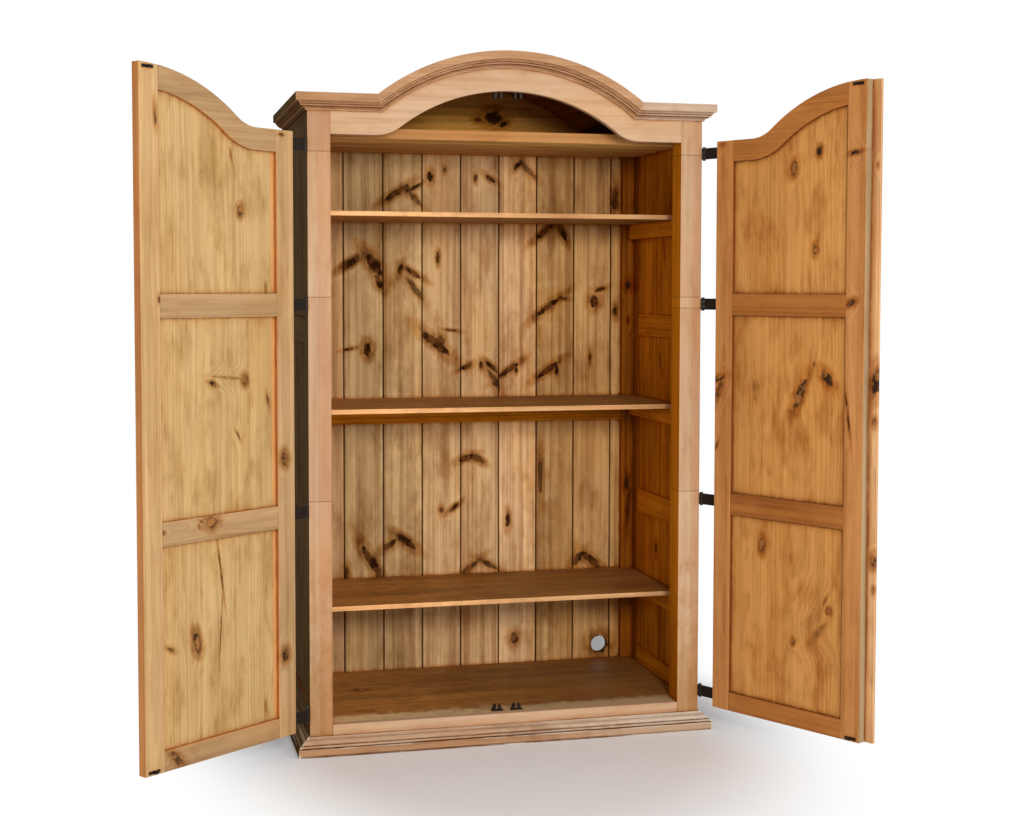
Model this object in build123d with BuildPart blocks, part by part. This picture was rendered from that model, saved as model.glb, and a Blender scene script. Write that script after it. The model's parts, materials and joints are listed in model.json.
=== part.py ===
from build123d import *
import os
from math import atan, cos, radians, sin, sqrt

# Trastero cabinet: a pine case with an arched bonnet top, three shelves and two framed doors.
# Millimetres, +Z up, +Y to the back. The origin is on the floor, under the middle of the case.

# ---------------------------------------------------------------- driving dimensions: case
CASE_WIDTH = 1200.0
CASE_DEPTH = 632.0
FLOOR_TOP = 84.0
POST_WIDTH = 67.0
POST_DEPTH = 75.0
SIDE_THICK = 18.0
EASE = 1.5

# The arch: one big radius over the middle, eased into the level shoulders by a smaller one.
SPRING_Z = 1801.0
ARCH_RISE = 138.0
ARCH_SPAN = 400.0
ARCH_RADIUS = 535.0

FRIEZE_THICK = 22.0
FRIEZE_HEIGHT = 66.0
ROOF_RISE = 87.0
ROOF_THICK = 10.0

CORNICE_HEIGHT = 48.0
CORNICE_REACH = 35.0
CORNICE_TURN = 45.0
BASE_HEIGHT = 53.0
BASE_REACH = 36.0

BACK_THICK = 18.0
PLANK_PITCH = 131.0
PLANK_JOINT = 113.0
PLANK_GAP = 1.6
PLANK_VEE = 2.2
TONGUE = 7.0
TONGUE_THICK = 5.0
TONGUE_PLAY = 0.5
CORNER_WIDTH = 41.0
CORNER_THICK = 22.0
BACK_RAIL_THICK = 18.0
BACK_RAIL_HEIGHT = 68.0
CABLE_HOLE = (470.0, 132.0)
CABLE_HOLE_RADIUS = 28.0

SHELF_TOPS = (1590.0, 994.0, 397.0)
SHELF_THICK = 15.0
SHELF_FRONT = 168.0
CLEAT_HEIGHT = 50.0
CLEAT_THICK = 18.0
CEILING = (1803.0, 1833.0)
CEILING_FRONT = 125.0
FLOOR_THICK = 18.0
BEARER_WIDTH = 44.0

SIDE_RAILS = ((0.0, 140.0), (600.0, 680.0), (1200.0, 1272.0), (1803.0, 1888.0))
BACK_STILE_FRONT = 540.0
SIDE_PANEL_THICK = 8.0

# ---------------------------------------------------------------- driving dimensions: doors
DOOR_THICK = 27.0
DOOR_STILE = 63.0
DOOR_RAIL = 62.0
DOOR_GAP = 2.0
MEETING_GAP = 3.0
DOOR_PROUD = 0.4
MID_RAILS = ((682.0, 747.0), (1280.0, 1344.0))
BOTTOM_RAIL_TOP = 142.0
PANEL_THICK = 12.0
PANEL_SETBACK = 9.0
PANEL_BEVEL = (26.0, 5.0)
ASTRAGAL_WIDTH = 54.0
ASTRAGAL_THICK = 12.0
ASTRAGAL_LAP = 27.0
ASTRAGAL_PLAY = 0.5
ASTRAGAL_ROUND = 4.0
LEFT_OPEN = 143.3
RIGHT_OPEN = 118.9

# ---------------------------------------------------------------- driving dimensions: ironwork
HINGE_HEIGHTS = (118.0, 714.0, 1312.0, 1768.0)
HINGE_TALL = 34.0
HINGE_PLATE = 2.5
KNUCKLE_RADIUS = 5.5
KNUCKLE_MIDDLE = 14.0
KNUCKLE_PLAY = 0.4
PIN_RADIUS = 2.95
PIN_BORE = 3.0
PIN_HEAD = 4.6
PIN_HEAD_TALL = 3.5
PIVOT_OUT = 6.0
PIVOT_FRONT = 3.0
LEAF_LENGTH = 40.0
STRAP_REACH = 190.0
STRAP_WAIST = 9.0
STRAP_SWELL = 12.0
SCREW_RADIUS = 3.6
SCREW_TALL = 1.8
SCREW_STEP = 8.5
STRAP_SCREWS = (95.0, 140.0)
LEAF_SCREWS = (15.0, 32.0)
CATCH_X = 30.0
CATCH_WIDTH = 24.0
CLIP_FRONT = 30.0
CLIP_DEPTH = 16.0
CLIP_TALL = 17.0
CLIP_SLOT = 10.0
CLIP_SHOULDER = 3.0
CLIP_HALF_WIDTHS = (18.0, 15.0, 10.0, 7.5)
CLIP_PLATE = 2.5
SPEAR_PLATE = (36.0, 8.0, 2.0)
SPEAR = (6.0, 6.0, 12.0)
SPEAR_LOWER = 11.0
SPEAR_UPPER = 13.0
PULL_X = 47.0
PULL_Z = 960.0
PULL_SPAN = 110.0
PULL_REACH = 32.0
PULL_RADIUS = 5.0
PULL_FOOT_RADIUS = 12.0
PULL_FOOT_THICK = 5.0

# ---------------------------------------------------------------- worked-out values
HALF = CASE_WIDTH / 2
INSIDE = HALF - SIDE_THICK
OPENING = HALF - POST_WIDTH
PLANK_FRONT = CASE_DEPTH - BACK_THICK
ARCH_ANGLE = 2 * atan(ARCH_RISE / ARCH_SPAN)
ARCH_EASE = ARCH_SPAN / sin(ARCH_ANGLE) - ARCH_RADIUS
ARCH_CENTRE = SPRING_Z + ARCH_RISE - ARCH_RADIUS
CORNICE_Z = SPRING_Z + FRIEZE_HEIGHT
CASE_TOP = SPRING_Z + ROOF_RISE

PIVOT_X = HALF + PIVOT_OUT
DOOR_HINGE_EDGE = OPENING - 1.0
DOOR_FREE_EDGE = MEETING_GAP / 2
DOOR_BOTTOM = FLOOR_TOP + DOOR_GAP
DOOR_OUTER = PIVOT_FRONT - DOOR_PROUD
DOOR_INNER = DOOR_OUTER + DOOR_THICK

FRONT = -CASE_DEPTH / 2
CASE = Plane(origin=(0, FRONT, 0), x_dir=(1, 0, 0), z_dir=(0, 0, 1))


def door_frame(side, angle):
    """The plane on the floor at a door's pivot: x runs to its meeting edge, z is up."""
    turn = radians(angle)
    origin = (side * PIVOT_X, FRONT - PIVOT_FRONT, 0)
    return Plane(origin=origin, x_dir=(-side * cos(turn), -sin(turn), 0), z_dir=(0, 0, 1))


def upright(frame, depth):
    """A plane standing in a frame at a depth: x across, y up, facing the front."""
    origin = frame.from_local_coords(Vector(0, depth, 0))
    return Plane(origin=origin, x_dir=frame.x_dir, z_dir=frame.y_dir * -1)


def finish(part, label):
    """Names a finished piece and writes its file."""
    part.label = label
    export_step(part, f"parts/{label}.step")


def boards(label, boxes, frame=CASE, ease=EASE):
    """Square boards with eased edges, one for each (x0, x1, y0, y1, z0, z1)."""
    with BuildPart() as piece:
        for x0, x1, y0, y1, z0, z1 in boxes:
            with BuildSketch(frame.offset(z0)):
                with Locations(((x0 + x1) / 2, (y0 + y1) / 2)):
                    Rectangle(abs(x1 - x0), abs(y1 - y0))
            extrude(amount=z1 - z0)
        if ease:
            fillet(piece.edges(), ease)
    finish(piece.part, label)


def half_arch(offset, near, far, place):
    """Draws the arch outline, raised by an offset, between two distances from the middle."""
    radius = ARCH_RADIUS + offset
    ease = ARCH_EASE - offset
    turn = radius * sin(ARCH_ANGLE)
    level = SPRING_Z + offset
    last = min(far, turn)

    def crown(t):
        return place(t, ARCH_CENTRE + sqrt(radius**2 - t**2))

    ThreePointArc(crown(near), crown((near + last) / 2), crown(last))
    if far > turn:
        half = ARCH_ANGLE / 2
        middle = place(ARCH_SPAN - ease * sin(half), level + ease - ease * cos(half))
        ThreePointArc(crown(turn), middle, place(ARCH_SPAN, level))
        Line(place(ARCH_SPAN, level), place(far, level))


def arch_height(offset, t):
    """The height of the arch outline at a distance from the middle, on its crown."""
    return ARCH_CENTRE + sqrt((ARCH_RADIUS + offset)**2 - t**2)


def on_right(t, z):
    return (t, z)


def on_left(t, z):
    return (-t, z)


def on_door(t, z):
    return (PIVOT_X - t, z)


# ---------------------------------------------------------------- case
def front_posts():
    for side, name in ((-1, "left"), (1, "right")):
        boards(f"{name}_front_post", [(side * HALF, side * OPENING, 0, POST_DEPTH, 0, CASE_TOP)])


def back_posts():
    """Each back post is the side's rear stile with a corner strip glued inside it."""
    for side, name in ((-1, "left"), (1, "right")):
        with BuildPart() as post:
            with BuildSketch(CASE):
                with Locations((side * (HALF - SIDE_THICK / 2), (BACK_STILE_FRONT + CASE_DEPTH) / 2)):
                    Rectangle(SIDE_THICK, CASE_DEPTH - BACK_STILE_FRONT)
                with Locations((side * (INSIDE - CORNER_WIDTH / 2), PLANK_FRONT - CORNER_THICK / 2)):
                    Rectangle(CORNER_WIDTH, CORNER_THICK)
            extrude(amount=CASE_TOP)
            edge = post.edges().filter_by(Axis.Z).sort_by(lambda line: side * line.center().X)[0:2]
            fillet(edge.sort_by(Axis.Y)[0], EASE)
        finish(post.part, f"{name}_back_post")


def side_frames():
    """Four rails and three thin panels between the posts of each side."""
    middle = HALF - SIDE_THICK / 2
    thin = SIDE_PANEL_THICK / 2
    rails = []
    panels = []
    for side in (-1, 1):
        for low, high in SIDE_RAILS:
            rails.append((side * HALF, side * INSIDE, POST_DEPTH, BACK_STILE_FRONT, low, high))
        for below, above in zip(SIDE_RAILS, SIDE_RAILS[1:]):
            span = (side * (middle - thin), side * (middle + thin))
            panels.append((*span, POST_DEPTH, BACK_STILE_FRONT, below[1], above[0]))
    boards("side_rails", rails)
    boards("side_panels", panels, ease=0)


def arched_front_rail():
    with BuildPart() as rail:
        with BuildSketch(upright(CASE, FRIEZE_THICK)):
            with BuildLine():
                for place in (on_left, on_right):
                    half_arch(0, 0, OPENING, place)
                    half_arch(ROOF_RISE, 0, OPENING, place)
                    Line(place(OPENING, SPRING_Z), place(OPENING, CASE_TOP))
            make_face()
        extrude(amount=FRIEZE_THICK)
        front = rail.faces().sort_by(Axis.Y)[0]
        under = front.edges().filter_by(lambda edge: abs(edge.center().X) < OPENING - EASE)
        fillet(under.filter_by(lambda edge: edge.center().Z < arch_height(EASE, edge.center().X)), EASE)
    finish(rail.part, "arched_front_rail")


def back_planks():
    """Tongued and grooved planks, with a vee at each joint and the cable hole near one corner."""
    top = SPRING_Z
    with BuildPart() as planks:
        first = PLANK_JOINT - PLANK_PITCH * int((PLANK_JOINT + INSIDE) / PLANK_PITCH)
        edges = [-INSIDE]
        joint = first
        while joint < INSIDE:
            edges.append(joint)
            joint += PLANK_PITCH
        edges.append(INSIDE)
        for left, right in zip(edges, edges[1:]):
            x0 = left + PLANK_GAP / 2
            x1 = right - PLANK_GAP / 2
            with BuildSketch(CASE.offset(FLOOR_TOP)):
                with BuildLine():
                    Polyline((x0, CASE_DEPTH), (x0, PLANK_FRONT + PLANK_VEE), (x0 + PLANK_VEE, PLANK_FRONT),
                             (x1 - PLANK_VEE, PLANK_FRONT), (x1, PLANK_FRONT + PLANK_VEE),
                             (x1, CASE_DEPTH), close=True)
                make_face()
                middle = PLANK_FRONT + BACK_THICK / 2
                if right < INSIDE:
                    with Locations((x1 + TONGUE / 2, middle)):
                        Rectangle(TONGUE, TONGUE_THICK)
                if left > -INSIDE:
                    groove = TONGUE + TONGUE_PLAY - PLANK_GAP
                    with Locations((x0 + groove / 2, middle)):
                        Rectangle(groove, TONGUE_THICK + 2 * TONGUE_PLAY, mode=Mode.SUBTRACT)
            extrude(amount=top - FLOOR_TOP)
        with BuildSketch(upright(CASE, CASE_DEPTH)):
            with Locations(CABLE_HOLE):
                Circle(CABLE_HOLE_RADIUS)
        extrude(amount=BACK_THICK, mode=Mode.SUBTRACT)
    finish(planks.part, "back_planks")


def arched_back_board():
    with BuildPart() as board:
        with BuildSketch(upright(CASE, CASE_DEPTH)):
            with BuildLine():
                for place in (on_left, on_right):
                    half_arch(ROOF_RISE, 0, INSIDE, place)
                    Line(place(INSIDE, CASE_TOP), place(INSIDE, SPRING_Z))
                Line(on_left(INSIDE, SPRING_Z), on_right(INSIDE, SPRING_Z))
            make_face()
        extrude(amount=BACK_THICK)
    finish(board.part, "arched_back_board")


def bonnet_roof():
    """A bent roof over the whole case, level at both ends."""
    with BuildPart() as roof:
        with BuildSketch(upright(CASE, CASE_DEPTH)):
            with BuildLine():
                for place in (on_left, on_right):
                    half_arch(ROOF_RISE, 0, HALF, place)
                    half_arch(ROOF_RISE + ROOF_THICK, 0, HALF, place)
                    Line(place(HALF, CASE_TOP), place(HALF, CASE_TOP + ROOF_THICK))
            make_face()
        extrude(amount=CASE_DEPTH)
    finish(roof.part, "bonnet_roof")


def notched_board(label, front, low, high):
    """A board from side to side, notched round the corner strips, with an eased front edge."""
    corner = PLANK_FRONT - CORNER_THICK
    strip = INSIDE - CORNER_WIDTH
    with BuildPart() as board:
        with BuildSketch(CASE.offset(low)):
            with BuildLine():
                Polyline((-INSIDE, front), (INSIDE, front), (INSIDE, corner), (strip, corner),
                         (strip, PLANK_FRONT), (-strip, PLANK_FRONT), (-strip, corner),
                         (-INSIDE, corner), close=True)
            make_face()
        extrude(amount=high - low)
        fillet(board.faces().sort_by(Axis.Y)[0].edges().filter_by(Axis.X), EASE)
    finish(board.part, label)


def inner_boards():
    """The bottom, its bearer, the ceiling under the bonnet, and the shelves with their cleats."""
    floor_under = FLOOR_TOP - FLOOR_THICK
    boards("bottom_front_rail", [(-OPENING, OPENING, 0, FRIEZE_THICK, 0, FLOOR_TOP)])
    boards("floor_bearer", [(-BEARER_WIDTH / 2, BEARER_WIDTH / 2, FRIEZE_THICK, PLANK_FRONT, 0, floor_under)])
    with BuildPart() as floor:
        with BuildSketch(CASE.offset(floor_under)):
            with BuildLine():
                corner = PLANK_FRONT - CORNER_THICK
                strip = INSIDE - CORNER_WIDTH
                Polyline((-OPENING, FRIEZE_THICK), (OPENING, FRIEZE_THICK), (OPENING, POST_DEPTH),
                         (INSIDE, POST_DEPTH), (INSIDE, corner), (strip, corner), (strip, CASE_DEPTH),
                         (-strip, CASE_DEPTH), (-strip, corner), (-INSIDE, corner), (-INSIDE, POST_DEPTH),
                         (-OPENING, POST_DEPTH), close=True)
            make_face()
        extrude(amount=FLOOR_THICK)
    finish(floor.part, "floor_board")

    notched_board("ceiling_board", CEILING_FRONT, *CEILING)
    for name, top in zip(("upper", "middle", "lower"), SHELF_TOPS):
        notched_board(f"{name}_shelf", SHELF_FRONT, top - SHELF_THICK, top)

    under = SHELF_TOPS[1] - SHELF_THICK
    strip = INSIDE - CORNER_WIDTH
    boards("back_middle_rail", [(-strip, strip, PLANK_FRONT - BACK_RAIL_THICK, PLANK_FRONT,
                                 under - BACK_RAIL_HEIGHT, under)])
    cleats = []
    for side in (-1, 1):
        for top in SHELF_TOPS:
            under = top - SHELF_THICK
            cleats.append((side * INSIDE, side * (INSIDE - CLEAT_THICK), SHELF_FRONT,
                           PLANK_FRONT - CORNER_THICK, under - CLEAT_HEIGHT, under))
    boards("shelf_cleats", cleats)


# ---------------------------------------------------------------- mouldings
def cornice_profile():
    """Two coves with a flat bead between them under a flat fascia, drawn outwards and upwards."""
    Line((0, 0), (5, 0))
    ThreePointArc((5, 0), (7.5, 5.5), (13, 8))
    Line((13, 8), (16, 8.5))
    Line((16, 8.5), (16, 11))
    Line((16, 11), (19, 11.5))
    Line((19, 11.5), (22.5, 15))
    Line((22.5, 15), (22.5, 17))
    Line((22.5, 17), (25, 17.5))
    ThreePointArc((25, 17.5), (27, 22), (31.5, 24))
    Line((31.5, 24), (CORNICE_REACH, 25))
    Line((CORNICE_REACH, 25), (CORNICE_REACH, CORNICE_HEIGHT))
    Line((CORNICE_REACH, CORNICE_HEIGHT), (0, CORNICE_HEIGHT))
    Line((0, CORNICE_HEIGHT), (0, 0))


def base_profile():
    """Flat plinth, bead and ogee, drawn outwards from the wall and upwards."""
    Line((0, 0), (BASE_REACH, 0))
    Line((BASE_REACH, 0), (BASE_REACH, 24))
    Line((BASE_REACH, 24), (32, 25))
    ThreePointArc((32, 25), (33, 29), (30, 32))
    Line((30, 32), (26, 33))
    ThreePointArc((26, 33), (22, 40), (15, 44))
    ThreePointArc((15, 44), (11, 46), (9, 50))
    Line((9, 50), (5, BASE_HEIGHT))
    Line((5, BASE_HEIGHT), (0, BASE_HEIGHT))
    Line((0, BASE_HEIGHT), (0, 0))


def run_of_moulding(label, profile, start, outward, along, length, mitres):
    """A profile carried along a straight line and cut by its mitre planes."""
    with BuildPart() as run:
        with BuildSketch(Plane(origin=start, x_dir=outward, z_dir=along)):
            with BuildLine():
                profile()
            make_face()
        extrude(amount=length)
        for mitre, keep in mitres:
            split(bisect_by=mitre, keep=keep)
    finish(run.part, label)


def corner_mitre(side):
    """The upright plane through a front corner at 45 degrees, facing that side's return."""
    return Plane(origin=(side * HALF, FRONT, 0), z_dir=(side, 1, 0))


def arch_mitre(side):
    """The plane where a level stretch of cornice meets the arched one, facing outwards."""
    def meeting(height):
        radius = ARCH_RADIUS + FRIEZE_HEIGHT + height
        level = CORNICE_Z + height - ARCH_CENTRE
        return sqrt(radius**2 - level**2)

    lean = meeting(CORNICE_HEIGHT) - meeting(0)
    origin = (side * meeting(0), FRONT, CORNICE_Z)
    return Plane(origin=origin, z_dir=(side * CORNICE_HEIGHT, 0, -lean))


def base_mouldings():
    reach = HALF + BASE_REACH
    cuts = [(corner_mitre(-1), Keep.BOTTOM), (corner_mitre(1), Keep.BOTTOM)]
    run_of_moulding("base_front_moulding", base_profile, (reach, FRONT, 0), (0, -1, 0), (-1, 0, 0),
                    2 * reach, cuts)
    length = CASE_DEPTH + BASE_REACH
    run_of_moulding("base_left_moulding", base_profile, (-HALF, FRONT - BASE_REACH, 0), (-1, 0, 0),
                    (0, 1, 0), length, [(corner_mitre(-1), Keep.TOP)])
    run_of_moulding("base_right_moulding", base_profile, (HALF, -FRONT, 0), (1, 0, 0), (0, -1, 0),
                    length, [(corner_mitre(1), Keep.TOP)])


def cornices():
    reach = HALF + CORNICE_REACH
    inner = ARCH_SPAN / 2
    run_of_moulding("cornice_right", cornice_profile, (reach, FRONT, CORNICE_Z), (0, -1, 0), (-1, 0, 0),
                    reach - inner, [(corner_mitre(1), Keep.BOTTOM), (arch_mitre(1), Keep.TOP)])
    run_of_moulding("cornice_left", cornice_profile, (-inner, FRONT, CORNICE_Z), (0, -1, 0), (-1, 0, 0),
                    reach - inner, [(corner_mitre(-1), Keep.BOTTOM), (arch_mitre(-1), Keep.TOP)])
    length = CASE_DEPTH + CORNICE_REACH
    run_of_moulding("cornice_left_return", cornice_profile, (-HALF, FRONT - CORNICE_REACH, CORNICE_Z),
                    (-1, 0, 0), (0, 1, 0), length, [(corner_mitre(-1), Keep.TOP)])
    run_of_moulding("cornice_right_return", cornice_profile, (HALF, -FRONT, CORNICE_Z), (1, 0, 0),
                    (0, -1, 0), length, [(corner_mitre(1), Keep.TOP)])
    radius = ARCH_RADIUS + FRIEZE_HEIGHT
    turn = radians(CORNICE_TURN)
    start = (-radius * sin(turn), FRONT, ARCH_CENTRE + radius * cos(turn))
    with BuildPart() as arch:
        with BuildSketch(Plane(origin=start, x_dir=(0, -1, 0), z_dir=(-cos(turn), 0, -sin(turn)))):
            with BuildLine():
                cornice_profile()
            make_face()
        revolve(axis=Axis((0, FRONT, ARCH_CENTRE), (0, 1, 0)), revolution_arc=2 * CORNICE_TURN)
        for side in (-1, 1):
            split(bisect_by=arch_mitre(side), keep=Keep.BOTTOM)
    finish(arch.part, "cornice_arch")


# ---------------------------------------------------------------- doors
def door_panel(label, frame, inward, outline):
    """A panel let in behind the frame, bevelled round its outer face."""
    outer = inward * (DOOR_INNER - PANEL_SETBACK - PANEL_THICK)
    inner = inward * (DOOR_INNER - PANEL_SETBACK)
    with BuildPart() as panel:
        with BuildSketch(upright(frame, max(outer, inner))):
            with BuildLine():
                outline()
            make_face()
        extrude(amount=PANEL_THICK)
        face = panel.faces().sort_by(lambda side: inward * frame.to_local_coords(side.center()).Y)[0]
        chamfer(face.edges(), length=PANEL_BEVEL[0], length2=PANEL_BEVEL[1], reference=face)
    finish(panel.part, label)


def door_woodwork(name, frame, inward):
    """Two stiles, four rails and three panels, placed from the pivot towards the meeting edge."""
    near = DOOR_FREE_EDGE + DOOR_STILE
    far = DOOR_HINGE_EDGE - DOOR_STILE
    depth = (inward * DOOR_OUTER, inward * DOOR_INNER)
    left, right = PIVOT_X - far, PIVOT_X - near
    top = SPRING_Z - DOOR_GAP
    boards(f"{name}_hinge_stile", [(PIVOT_X - DOOR_HINGE_EDGE, left, *depth, DOOR_BOTTOM, top)], frame)

    with BuildPart() as stile:
        with BuildSketch(upright(frame, max(depth))):
            with BuildLine():
                half_arch(-DOOR_GAP, DOOR_FREE_EDGE, near, on_door)
                Polyline(on_door(near, arch_height(-DOOR_GAP, near)), on_door(near, DOOR_BOTTOM),
                         on_door(DOOR_FREE_EDGE, DOOR_BOTTOM),
                         on_door(DOOR_FREE_EDGE, arch_height(-DOOR_GAP, DOOR_FREE_EDGE)))
            make_face()
        extrude(amount=DOOR_THICK)
        fillet(stile.edges(), EASE)
    finish(stile.part, f"{name}_meeting_stile")

    lower = -DOOR_GAP - DOOR_RAIL
    with BuildPart() as rail:
        with BuildSketch(upright(frame, max(depth))):
            with BuildLine():
                half_arch(-DOOR_GAP, near, far, on_door)
                half_arch(lower, near, far, on_door)
                Line(on_door(near, arch_height(-DOOR_GAP, near)), on_door(near, arch_height(lower, near)))
                Line(on_door(far, SPRING_Z - DOOR_GAP), on_door(far, SPRING_Z + lower))
            make_face()
        extrude(amount=DOOR_THICK)
    finish(rail.part, f"{name}_top_rail")

    spans = (DOOR_BOTTOM, BOTTOM_RAIL_TOP), *MID_RAILS
    for title, (low, high) in zip(("bottom", "lower", "upper"), spans):
        boards(f"{name}_{title}_rail", [(left, right, *depth, low, high)], frame)

    def plain(low, high):
        def outline():
            Polyline((left, low), (right, low), (right, high), (left, high), close=True)
        return outline

    def arched():
        half_arch(lower, near, far, on_door)
        bottom = MID_RAILS[1][1]
        Polyline(on_door(near, arch_height(lower, near)), on_door(near, bottom), on_door(far, bottom),
                 on_door(far, SPRING_Z + lower))

    door_panel(f"{name}_lower_panel", frame, inward, plain(BOTTOM_RAIL_TOP, MID_RAILS[0][0]))
    door_panel(f"{name}_middle_panel", frame, inward, plain(MID_RAILS[0][1], MID_RAILS[1][0]))
    door_panel(f"{name}_upper_panel", frame, inward, arched)


def astragal(frame, inward):
    """The strip on the right door that laps over the left one, relieved where it does."""
    top = SPRING_Z + ARCH_RISE - DOOR_GAP
    face = inward * DOOR_OUTER
    outer = inward * (DOOR_OUTER - ASTRAGAL_THICK)
    relieved = inward * (DOOR_OUTER - ASTRAGAL_PLAY)
    edge = PIVOT_X - DOOR_FREE_EDGE
    start = edge + ASTRAGAL_LAP - ASTRAGAL_WIDTH
    with BuildPart() as strip:
        with BuildSketch(frame.offset(DOOR_BOTTOM)):
            with BuildLine():
                Polyline((start, face), (edge, face), (edge, relieved), (edge + ASTRAGAL_LAP, relieved),
                         (edge + ASTRAGAL_LAP, outer), (start, outer), close=True)
            make_face()
        extrude(amount=top - DOOR_BOTTOM)
        front = strip.faces().sort_by(lambda side: inward * frame.to_local_coords(side.center()).Y)[0]
        fillet(front.edges(), ASTRAGAL_ROUND)
    finish(strip.part, "right_door_astragal")


def pull(name, frame, inward):
    """A bowed iron pull on two round feet."""
    face = inward * DOOR_OUTER
    across = PIVOT_X - PULL_X
    half = PULL_SPAN / 2
    with BuildPart() as handle:
        with BuildSketch(upright(frame, max(face, face - inward * PULL_FOOT_THICK))):
            with Locations((across, PULL_Z - half), (across, PULL_Z + half)):
                Circle(PULL_FOOT_RADIUS)
        extrude(amount=PULL_FOOT_THICK)
        foot = frame.from_local_coords(Vector(across, face - inward * PULL_FOOT_THICK, PULL_Z))
        outwards = frame.y_dir * -inward
        with BuildLine(Plane(origin=foot, x_dir=outwards, z_dir=outwards.cross(Vector(0, 0, 1)))) as bow:
            ThreePointArc((-1, -half), (PULL_REACH, 0), (-1, half))
        with BuildSketch(Plane(origin=bow.line @ 0, z_dir=bow.line % 0)):
            Circle(PULL_RADIUS)
        sweep(path=bow.line)
    finish(handle.part, f"{name}_pull")


# ---------------------------------------------------------------- ironwork
def case_leaves():
    """Plates on the case's sides, with the upper and lower knuckles at the front corners."""
    knuckle = (HINGE_TALL - KNUCKLE_MIDDLE) / 2 - KNUCKLE_PLAY
    back = PIVOT_FRONT + LEAF_LENGTH
    neck = KNUCKLE_RADIUS + 1
    with BuildPart() as leaves:
        for side in (-1, 1):
            frame = Plane(origin=(side * PIVOT_X, FRONT - PIVOT_FRONT, 0), x_dir=(1, 0, 0), z_dir=(0, 0, 1))
            plate_x = -side * (PIVOT_OUT - HINGE_PLATE / 2)
            for middle in HINGE_HEIGHTS:
                with BuildSketch(frame.offset(middle - HINGE_TALL / 2)):
                    with Locations((plate_x, (neck + back) / 2)):
                        Rectangle(HINGE_PLATE, back - neck)
                extrude(amount=HINGE_TALL)
                for low in (middle - HINGE_TALL / 2, middle + HINGE_TALL / 2 - knuckle):
                    with BuildSketch(frame.offset(low)):
                        with Locations((plate_x, neck / 2)):
                            Rectangle(HINGE_PLATE, neck)
                        Circle(KNUCKLE_RADIUS)
                        Circle(PIN_BORE, mode=Mode.SUBTRACT)
                    extrude(amount=knuckle)
    finish(leaves.part, "case_hinge_leaves")


def hinge_pins():
    with BuildPart() as pins:
        for side in (-1, 1):
            for middle in HINGE_HEIGHTS:
                low = middle - HINGE_TALL / 2
                with BuildSketch(CASE.offset(low)):
                    with Locations((side * PIVOT_X, -PIVOT_FRONT)):
                        Circle(PIN_RADIUS)
                extrude(amount=HINGE_TALL)
                for start in (low - PIN_HEAD_TALL, low + HINGE_TALL):
                    with BuildSketch(CASE.offset(start)):
                        with Locations((side * PIVOT_X, -PIVOT_FRONT)):
                            Circle(PIN_HEAD)
                    extrude(amount=PIN_HEAD_TALL)
    finish(pins.part, "hinge_pins")


def door_straps(name, frame, inward):
    """Straps that cross the post, run over the door's outer face and end in a point."""
    outer = inward * (DOOR_OUTER - HINGE_PLATE)
    face = inward * DOOR_OUTER
    half = HINGE_TALL / 2
    neck = KNUCKLE_RADIUS + 3
    waist, swell = STRAP_WAIST, STRAP_SWELL
    with BuildPart() as straps:
        for middle in HINGE_HEIGHTS:
            with BuildSketch(upright(frame, max(outer, face))):
                with BuildLine():
                    edge = []
                    for back, rise in ((STRAP_REACH - neck, half), (34, half), (26, waist), (14, swell)):
                        edge.append((STRAP_REACH - back, rise))
                    lower = [(x, middle - rise) for x, rise in edge]
                    upper = [(x, middle + rise) for x, rise in reversed(edge)]
                    Polyline(*lower, (STRAP_REACH, middle), *upper, close=True)
                make_face()
            extrude(amount=HINGE_PLATE)
            with BuildSketch(frame.offset(middle - KNUCKLE_MIDDLE / 2)):
                with Locations(((neck + 1) / 2, (outer + face) / 2)):
                    Rectangle(neck + 1, HINGE_PLATE)
                Circle(KNUCKLE_RADIUS)
                Circle(PIN_BORE, mode=Mode.SUBTRACT)
            extrude(amount=KNUCKLE_MIDDLE)
    finish(straps.part, f"{name}_hinge_straps")


def door_screws(name, frame, inward):
    outer = inward * (DOOR_OUTER - HINGE_PLATE)
    with BuildPart() as screws:
        with BuildSketch(upright(frame, max(outer, outer - inward * SCREW_TALL))):
            for middle in HINGE_HEIGHTS:
                near, far = STRAP_SCREWS
                with Locations((near, middle + SCREW_STEP), (near, middle - SCREW_STEP), (far, middle)):
                    Circle(SCREW_RADIUS)
        extrude(amount=SCREW_TALL)
    finish(screws.part, f"{name}_hinge_screws")


def case_screws():
    with BuildPart() as screws:
        for side in (-1, 1):
            wall = HALF + HINGE_PLATE
            start = side * wall if side > 0 else side * (wall + SCREW_TALL)
            plane = Plane(origin=(start, FRONT, 0), x_dir=(0, 1, 0), z_dir=(1, 0, 0))
            with BuildSketch(plane):
                for middle in HINGE_HEIGHTS:
                    near, far = LEAF_SCREWS
                    with Locations((near, middle + SCREW_STEP), (near, middle - SCREW_STEP), (far, middle)):
                        Circle(SCREW_RADIUS)
            extrude(amount=SCREW_TALL)
    finish(screws.part, "case_hinge_screws")


def stacked(label, boxes):
    """Plates joined into one piece, or into one piece for each separate heap."""
    with BuildPart() as piece:
        for x0, x1, y0, y1, z0, z1 in boxes:
            with BuildSketch(CASE.offset(z0)):
                with Locations(((x0 + x1) / 2, (y0 + y1) / 2)):
                    Rectangle(x1 - x0, y1 - y0)
            extrude(amount=z1 - z0)
    finish(piece.part, label)


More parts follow.
